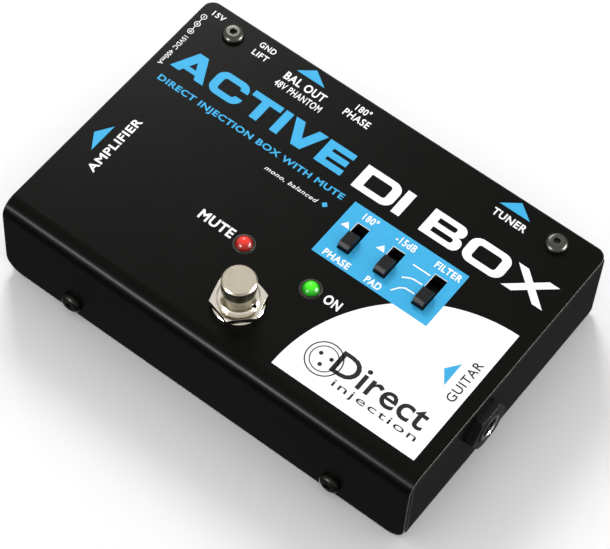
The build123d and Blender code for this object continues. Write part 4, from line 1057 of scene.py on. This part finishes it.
    def flat(self, outlines: list[list[Point]], level: int = 1) -> bpy.types.Mesh:
        """Raise an outline by one or more films of ink."""
        return prism(outlines, TOP - SINK, TOP + level * self.ink)

    def ring(self, centre: Point, radius: float, width: float, level: int = 1) -> bpy.types.Mesh:
        """Raise a printed ring."""
        outlines = [disc(centre, radius + width / 2), disc(centre, radius - width / 2)]
        return self.flat(outlines, level)

    def build(self) -> None:
        """Print every layer."""
        low, high, over = TOP - SINK, TOP + self.ink, TOP + 2 * self.ink
        for number, (line, finish) in enumerate(self.titles):
            self.layer(f"printed_title_{number + 1}", [line.mesh(low, high)], finish)
        self.layer("printed_labels", [line.mesh(low, high) for line in self.labels], WHITE_INK)
        self.layer("printed_arrows", [self.flat([list(arrow)]) for arrow in self.arrows[:3]], BLUE_INK)
        self.layer("white_quarter_panel", [self.flat([self.quarter()])], WHITE_INK)
        self.layer("blue_switch_panel", [self.flat([box_line(*self.blue_panel), *self.windows()])], BLUE_INK)
        self.layer("printed_arrow_on_white", [self.flat([list(self.arrows[3])], 2)], BLUE_INK)
        self.layer("panel_labels", [line.mesh(low, over) for line in self.panel_labels], WHITE_INK)
        self.layer("dark_labels", [line.mesh(low, over) for line in self.dark_labels], BLACK_INK)
        marks = [self.flat([list(p)], 2) for p in self.pointers]
        marks += [self.flat([stroke(list(c), self.curve_width)], 2) for c in self.curves]
        marks += [self.frame_line(window) for window in self.windows()]
        self.layer("panel_marks", marks, WHITE_INK)
        self.layer("polarity_symbol", self.polarity_marks(), WHITE_INK)
        self.layer("socket_symbol", self.socket_marks(), BLACK_INK)
        self.layer("printed_spot", [self.flat([disc(self.spot, 1.0, 4)])], BLUE_INK)

    def frame_line(self, window: list[Point]) -> bpy.types.Mesh:
        """Draw the thin white line where the panel's underprint shows by a slot's rear and left edges."""
        (left, _), _, (right, rear), _ = window
        edge = self.underprint
        long = rear - self.knob_length
        inner = [(left, long), (left, rear), (right, rear)]
        outer = [(right, rear + edge), (left - edge, rear + edge), (left - edge, long)]
        return self.flat([inner + outer], 2)

    def polarity_marks(self) -> list[bpy.types.Mesh]:
        """Draw the three linked circles of the supply's polarity."""
        line, half, gap = self.polarity_line, self.sign_half, self.polarity_radius + 0.05
        made = [self.ring(centre, self.polarity_radius, line) for centre in self.polarity]
        for a, b in zip(self.polarity, self.polarity[1:]):
            made.append(self.flat([stroke([(a[0], a[1] - gap), (b[0], b[1] + gap)], line)]))
        first, middle, last = self.polarity
        for x, y in (first, last):
            made.append(self.flat([stroke([(x, y - half), (x, y + half)], line)]))
        made.append(self.flat([disc(middle, self.dot_radius, 16)]))
        x, y = last
        made.append(self.flat([stroke([(x - half, y), (x + half, y)], 0.2)]))
        return made

    def socket_marks(self) -> list[bpy.types.Mesh]:
        """Draw a plain three-pin socket symbol with its two rings."""
        x, y = self.socket_symbol
        made = [self.ring(self.socket_symbol, radius, line, 2) for radius, line in self.socket_rings]
        for angle in (150, 270, 30):
            turn = math.radians(angle)
            pin = (x + self.pin_circle * math.cos(turn), y + self.pin_circle * math.sin(turn))
            made.append(self.flat([disc(pin, self.pin_radius, 24)], 2))
        return made


@dataclass
class Footswitch(SubAssembly):
    """The push switch: its cap, bushing with thread, nuts and washer.

    Attributes:
        bush_radius: radius of the thread's floor.
        pitch: distance between threads.
        thread_ridge: radius of a thread's ridge.
        thread_span: lowest and highest thread above the nut.
        spring_radius: radius of the return spring's coil.
        spring_wire: radius of its wire.
        spring_turns: number of turns.
        spring_keep: share of its height left when the cap is down; not used.
    """

    finishes = {
        "footswitch_plunger": CAP_NICKEL,
        "footswitch_bushing": NICKEL,
        "footswitch_locknut": NICKEL,
        "footswitch_washer": NICKEL,
        "footswitch_nut": NICKEL,
        "footswitch_housing": PHENOLIC,
        "footswitch_yoke": ZINC_STEEL,
        "footswitch_terminals": TINNED,
        "footswitch_wires": SLEEVING,
    }
    bush_radius: float = 5.93
    pitch: float = 0.6
    thread_ridge: float = 0.16
    thread_span: Point = (33.75, 34.9)
    spring_radius: float = 2.6
    spring_wire: float = 0.35
    spring_turns: float = 6.0
    spring_keep: float = 0.625

    def build(self) -> None:
        """Dress the switch, cut its thread and wind its spring."""
        super().build()
        low, high = self.thread_span
        tree = HelixTree("helical_thread", NICKEL)
        turns = (high - low) / self.pitch
        mesh = tree.wind(self.bush_radius, turns, high - low, self.thread_ridge, at(*SWITCH_AXIS, low))
        piece("bushing_thread", mesh, "root")
        self.coil()

    def coil(self) -> None:
        """Wind the return spring in place of the plain one."""
        low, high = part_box("footswitch_spring")
        foot, wire = low.z / MM, self.spring_wire
        tall = (high.z - low.z) / MM - 2 * wire
        tree = HelixTree("spring_wire", SPRING)
        mesh = tree.wind(self.spring_radius, self.spring_turns, tall, wire, at(*SWITCH_AXIS, foot + wire))
        made = piece("coiled_return_spring", mesh, "root")
        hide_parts("footswitch_spring")
        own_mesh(made)


class Lamps(SubAssembly):
    """The mute lamp and the power lamp with their bezels and leads."""

    finishes = {
        "mute_lamp_lens": RED_LENS,
        "power_lamp_lens": GREEN_LENS,
        "lamp_bezels": DULLED_NICKEL,
        "lamp_leads": TINNED,
    }


@dataclass
class SlideSwitches(SubAssembly):
    """Three slide switches in the top and two in the rear panel.

    Attributes:
        rib_radius: radius of a grip rib.
        rib_length: its length across the knob.
        ribs: ribs on each top knob.
        end_land: plain part of a knob's crown at each end.
    """

    finishes = {
        f"{name}_switch_{part}": finish
        for name in ("phase", "pad", "filter", "ground", "rear_phase")
        for part, finish in (("frame", CAN_STEEL), ("knob", KNOB_ABS))
    }
    rib_radius: float = 0.2
    rib_length: float = 3.1
    ribs: int = 4
    end_land: float = 1.8

    def build(self) -> None:
        """Dress the switches and rib the knobs of the top ones."""
        super().build()
        tree = self.rib_tree()
        for name in ("phase", "pad", "filter"):
            low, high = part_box(f"{name}_switch_knob")
            middle = (low + high) / 2
            step = ((high.y - low.y) / MM - 2 * self.end_land) / self.ribs
            place = Matrix.Translation((middle.x, middle.y - step * MM * (self.ribs - 1) / 2, high.z))
            values = {
                "Count": self.ribs,
                "Step": step * MM,
                "Length": self.rib_length * MM,
                "Radius": self.rib_radius * MM,
            }
            piece(f"{name}_knob_ribs", tree.grow(values, place), f"{name}_knob")

    def rib_tree(self) -> RepeatTree:
        """Make the tree that repeats a rounded rib."""
        sizes = {"Step": (FLOAT, 0.001), "Length": (FLOAT, 0.003), "Radius": (FLOAT, 0.0002)}
        tree = RepeatTree("grip_ribs", {"Count": (INT, 4), **sizes})
        ends = {}
        for label, share in (("Start", -0.5), ("End", 0.5)):
            reach = tree.add("ShaderNodeMath", {1: share}, {0: "Length"}, operation="MULTIPLY")
            ends[label] = (tree.add("ShaderNodeCombineXYZ", links={"X": (reach, 0)}), 0)
        line = tree.add("GeometryNodeCurvePrimitiveLine", links=ends)
        rib = tree.sweep(line, "Radius")
        offset = tree.add("ShaderNodeCombineXYZ", links={"Y": "Step"})
        row = tree.add("GeometryNodeMeshLine", links={"Count": "Count", "Offset": (offset, 0)})
        tree.scatter(row, (rib, "Mesh"), KNOB_ABS)
        return tree


class Jacks(SubAssembly):
    """Three jack sockets, each with its body, black nut and chromed nose."""

    finishes = {
        f"{name}_jack_{part}": finish
        for name in ("guitar", "amplifier", "tuner")
        for part, finish in (("body", NYLON), ("nut", NYLON), ("ferrule", CHROME))
    } | {"jack_contacts": TINNED}


class RearConnectors(SubAssembly):
    """The three-pin socket and the power inlet."""

    finishes = {
        "xlr_shell": CAST_ZINC,
        "xlr_insert": INSERT_PLASTIC,
        "xlr_pins": TINNED,
        "power_inlet_body": NYLON,
        "power_inlet_pin": CHROME,
    }


class Interior(SubAssembly):
    """Boards and the parts on them."""

    finishes = {
        "main_board": BOARD,
        "control_board": BOARD,
        "board_header": CHIP_PLASTIC,
        "board_standoffs": ZINC_STEEL,
        "board_screws": ZINC_STEEL,
        "control_pillars": ZINC_STEEL,
        "transformer_core": LAMINATED,
        "transformer_coil": TAPE,
        "electrolytic_capacitors": SHRINK,
        "op_amp_chips": CHIP_PLASTIC,
        "resistors": LACQUER,
    }


@dataclass
class NonSlipPad(SubAssembly):
    """The rubber pad under the box: a sheet whose underside is a field of low studs.

    Attributes:
        sheet: the span of heights of the plain sheet.
        step: distance between studs.
        stud: radius of a stud at its root.
        margin: plain border round the field.
        corner: radius of the pad's corners.
        taper: a stud's radius at its crown, as a share of that at its root.
    """

    sheet: Point = (0.45, 1.3)
    step: float = 3.2
    stud: float = 1.1
    margin: float = 2.4
    corner: float = 3.0
    taper: float = 0.7

    def build(self) -> None:
        """Build the studded pad in place of the plain one."""
        first, last = (corner / MM + PLAN_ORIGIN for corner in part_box("non_slip_pad"))
        outline = rounded(first.x, first.y, last.x, last.y, (self.corner,) * 4)
        sheet = prism([outline], *self.sheet)
        wide = last.x - first.x - 2 * self.margin
        deep = last.y - first.y - 2 * self.margin
        values = {
            "Columns": int(wide / self.step) + 1,
            "Rows": int(deep / self.step) + 1,
            "Width": wide * MM,
            "Depth": deep * MM,
            "Stud": self.stud * MM,
            "Height": self.sheet[0] * MM,
        }
        middle = at((first.x + last.x) / 2, (first.y + last.y) / 2, self.sheet[0])
        studs = self.stud_tree().grow(values, Matrix.Translation(middle))
        made = piece("studded_non_slip_pad", join([sheet, studs]), "root", RUBBER)
        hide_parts("non_slip_pad")

    def stud_tree(self) -> RepeatTree:
        """Make the tree that sets a tapered stud on every place of a grid."""
        sizes = {"Width": 0.1, "Depth": 0.1, "Stud": 0.001, "Height": 0.0005}
        inputs = {"Columns": (INT, 10), "Rows": (INT, 10)}
        tree = RepeatTree("stud_field", inputs | {label: (FLOAT, value) for label, value in sizes.items()})
        links = {"Size X": "Width", "Size Y": "Depth", "Vertices X": "Columns", "Vertices Y": "Rows"}
        grid = tree.add("GeometryNodeMeshGrid", links=links)
        crown = tree.add("ShaderNodeMath", {1: self.taper}, {0: "Stud"}, operation="MULTIPLY")
        links = {"Radius Top": (crown, 0), "Radius Bottom": "Stud", "Depth": "Height"}
        cone = tree.add("GeometryNodeMeshCone", {"Vertices": 10}, links)
        turned = {"Rotation": (math.pi, 0.0, 0.0)}
        down = tree.add("GeometryNodeTransform", turned, {0: (cone, "Mesh")})
        tree.scatter(grid, (down, 0), RUBBER)
        return tree


@dataclass(frozen=True)
class SoftLight:
    """One soft light of the studio.

    Attributes:
        name: its name.
        azimuth: its place round the box in degrees.
        elevation: its angle above the floor in degrees.
        distance: from the box in metres.
        face: width and height of its face in metres.
        power: its power in watts.
        gloss_only: whether it is a card that only shows in the gloss.
    """

    name: str
    azimuth: float
    elevation: float
    distance: float
    face: Point
    power: float
    gloss_only: bool = False


@dataclass
class Studio:
    """The pale floor, the soft lights and the camera.

    Attributes:
        target: the point that the camera's axis meets.
        distance: from there to the camera, in millimetres.
        azimuth: the camera's place round the box, from straight in front.
        elevation: its angle above the floor.
        roll: its lean.
        lens: focal length.
        shift: sideways and upward shift of the frame.
        zenith: strength of the room's light overhead.
        horizon: its strength near the horizon.
        below: its share under the horizon, where a dark card stands.
        reach: half the width of the floor in metres.
        lights: the soft lights.
    """

    target: tuple[float, float, float] = (11.61, -9.69, 31.0)
    distance: float = 714.26
    azimuth: float = 32.827
    elevation: float = 58.297
    roll: float = 5.189
    lens: float = 154.96
    shift: Point = (-0.0174, 0.0065)
    zenith: float = 1.06
    horizon: float = 1.08
    below: float = 0.17
    reach: float = 3.0
    lights: tuple[SoftLight, ...] = (
        SoftLight("rear_key", 224.0, 40.0, 1.0, (0.3, 0.3), 4.6),
        SoftLight("front_strip", -18.5, 24.0, 0.7, (0.24, 0.06), 5.4, gloss_only=True),
        SoftLight("right_strip", 117.0, 17.0, 0.7, (0.4, 0.1), 9.0, gloss_only=True),
        SoftLight("under_fill", -135.0, -65.0, 0.8, (0.5, 0.5), 2.5),
    )

    def build(self) -> None:
        """Set the floor, the lights and the camera."""
        bpy.context.scene.view_settings.view_transform = "Standard"
        self.floor()
        self.sky()
        for light in self.lights:
            self.light(light)
        self.camera()

    def floor(self) -> None:
        """Lay a plain pale floor."""
        mesh = bpy.data.meshes.new("floor")
        corners = [(x, y, 0.0) for x, y in box_line(-self.reach, -self.reach, self.reach, self.reach)]
        mesh.from_pydata(corners, [], [(0, 1, 2, 3)])
        made = bpy.data.objects.new("floor", mesh)
        bpy.context.scene.collection.objects.link(made)
        mesh.materials.append(FLOOR_WHITE.material())
        made.visible_glossy = False
        made.visible_diffuse = False
        made.visible_shadow = False

    def sky(self) -> None:
        """Light the room evenly from above, with a dark card below the horizon for the gloss."""
        world = bpy.data.worlds.new("soft_room")
        world.use_nodes = True
        world.node_tree.nodes.clear()
        tree = world.node_tree
        place = put(tree, "ShaderNodeTexCoord")
        way = put(tree, "ShaderNodeSeparateXYZ", links={"Vector": (place, "Generated")})
        span = {"From Min": 0.0, "From Max": 0.8, "To Min": self.horizon, "To Max": self.zenith}
        above = put(tree, "ShaderNodeMapRange", span, {"Value": (way, "Z")})
        span = {"From Min": -0.04, "From Max": 0.02, "To Min": self.below, "To Max": 1.0}
        over = put(tree, "ShaderNodeMapRange", span, {"Value": (way, "Z")})
        strength = put(tree, "ShaderNodeMath", links={0: (above, 0), 1: (over, 0)}, operation="MULTIPLY")
        sky = put(tree, "ShaderNodeBackground", links={"Strength": (strength, 0)})
        put(tree, "ShaderNodeOutputWorld", links={0: (sky, 0)})
        bpy.context.scene.world = world

    def bearing(self, azimuth: float, elevation: float) -> Vector:
        """Give the direction towards a place round the box."""
        a, e = math.radians(azimuth), math.radians(elevation)
        return Vector((math.sin(a) * math.cos(e), -math.cos(a) * math.cos(e), math.sin(e)))

    def light(self, soft: SoftLight) -> None:
        """Hang one soft light."""
        data = bpy.data.lights.new(soft.name, "AREA")
        data.shape = "RECTANGLE"
        data.size, data.size_y = soft.face
        data.energy = soft.power
        made = bpy.data.objects.new(soft.name, data)
        way = self.bearing(soft.azimuth, soft.elevation)
        made.location = way * soft.distance
        made.rotation_mode = "QUATERNION"
        made.rotation_quaternion = way.to_track_quat("Z", "Y")
        made.visible_diffuse = not soft.gloss_only
        bpy.context.scene.collection.objects.link(made)

    def camera(self) -> None:
        """Set the camera at its viewing angle."""
        data = bpy.data.cameras.new("camera")
        data.lens = self.lens
        data.sensor_width = 36.0
        data.shift_x, data.shift_y = self.shift
        data.clip_start, data.clip_end = 0.01, 20.0
        made = bpy.data.objects.new("camera", data)
        way = self.bearing(self.azimuth, self.elevation)
        made.location = (Vector(self.target) + way * self.distance) * MM
        made.rotation_mode = "QUATERNION"
        lean = Quaternion((0.0, 0.0, 1.0), math.radians(self.roll))
        made.rotation_quaternion = way.to_track_quat("Z", "Y") @ lean
        bpy.context.scene.collection.objects.link(made)
        bpy.context.scene.camera = made


def main() -> None:
    """Build the sub-assemblies in order."""
    logging.basicConfig(level=logging.INFO, format="%(message)s")
    for part in (
        CaseShell(),
        Fasteners(),
        CasePrinting(),
        Footswitch(),
        Lamps(),
        SlideSwitches(),
        Jacks(),
        RearConnectors(),
        Interior(),
        NonSlipPad(),
        Studio(),
    ):
        part.build()
        log.info("finished %s", type(part).__name__)


if __name__ == "__main__":
    main()
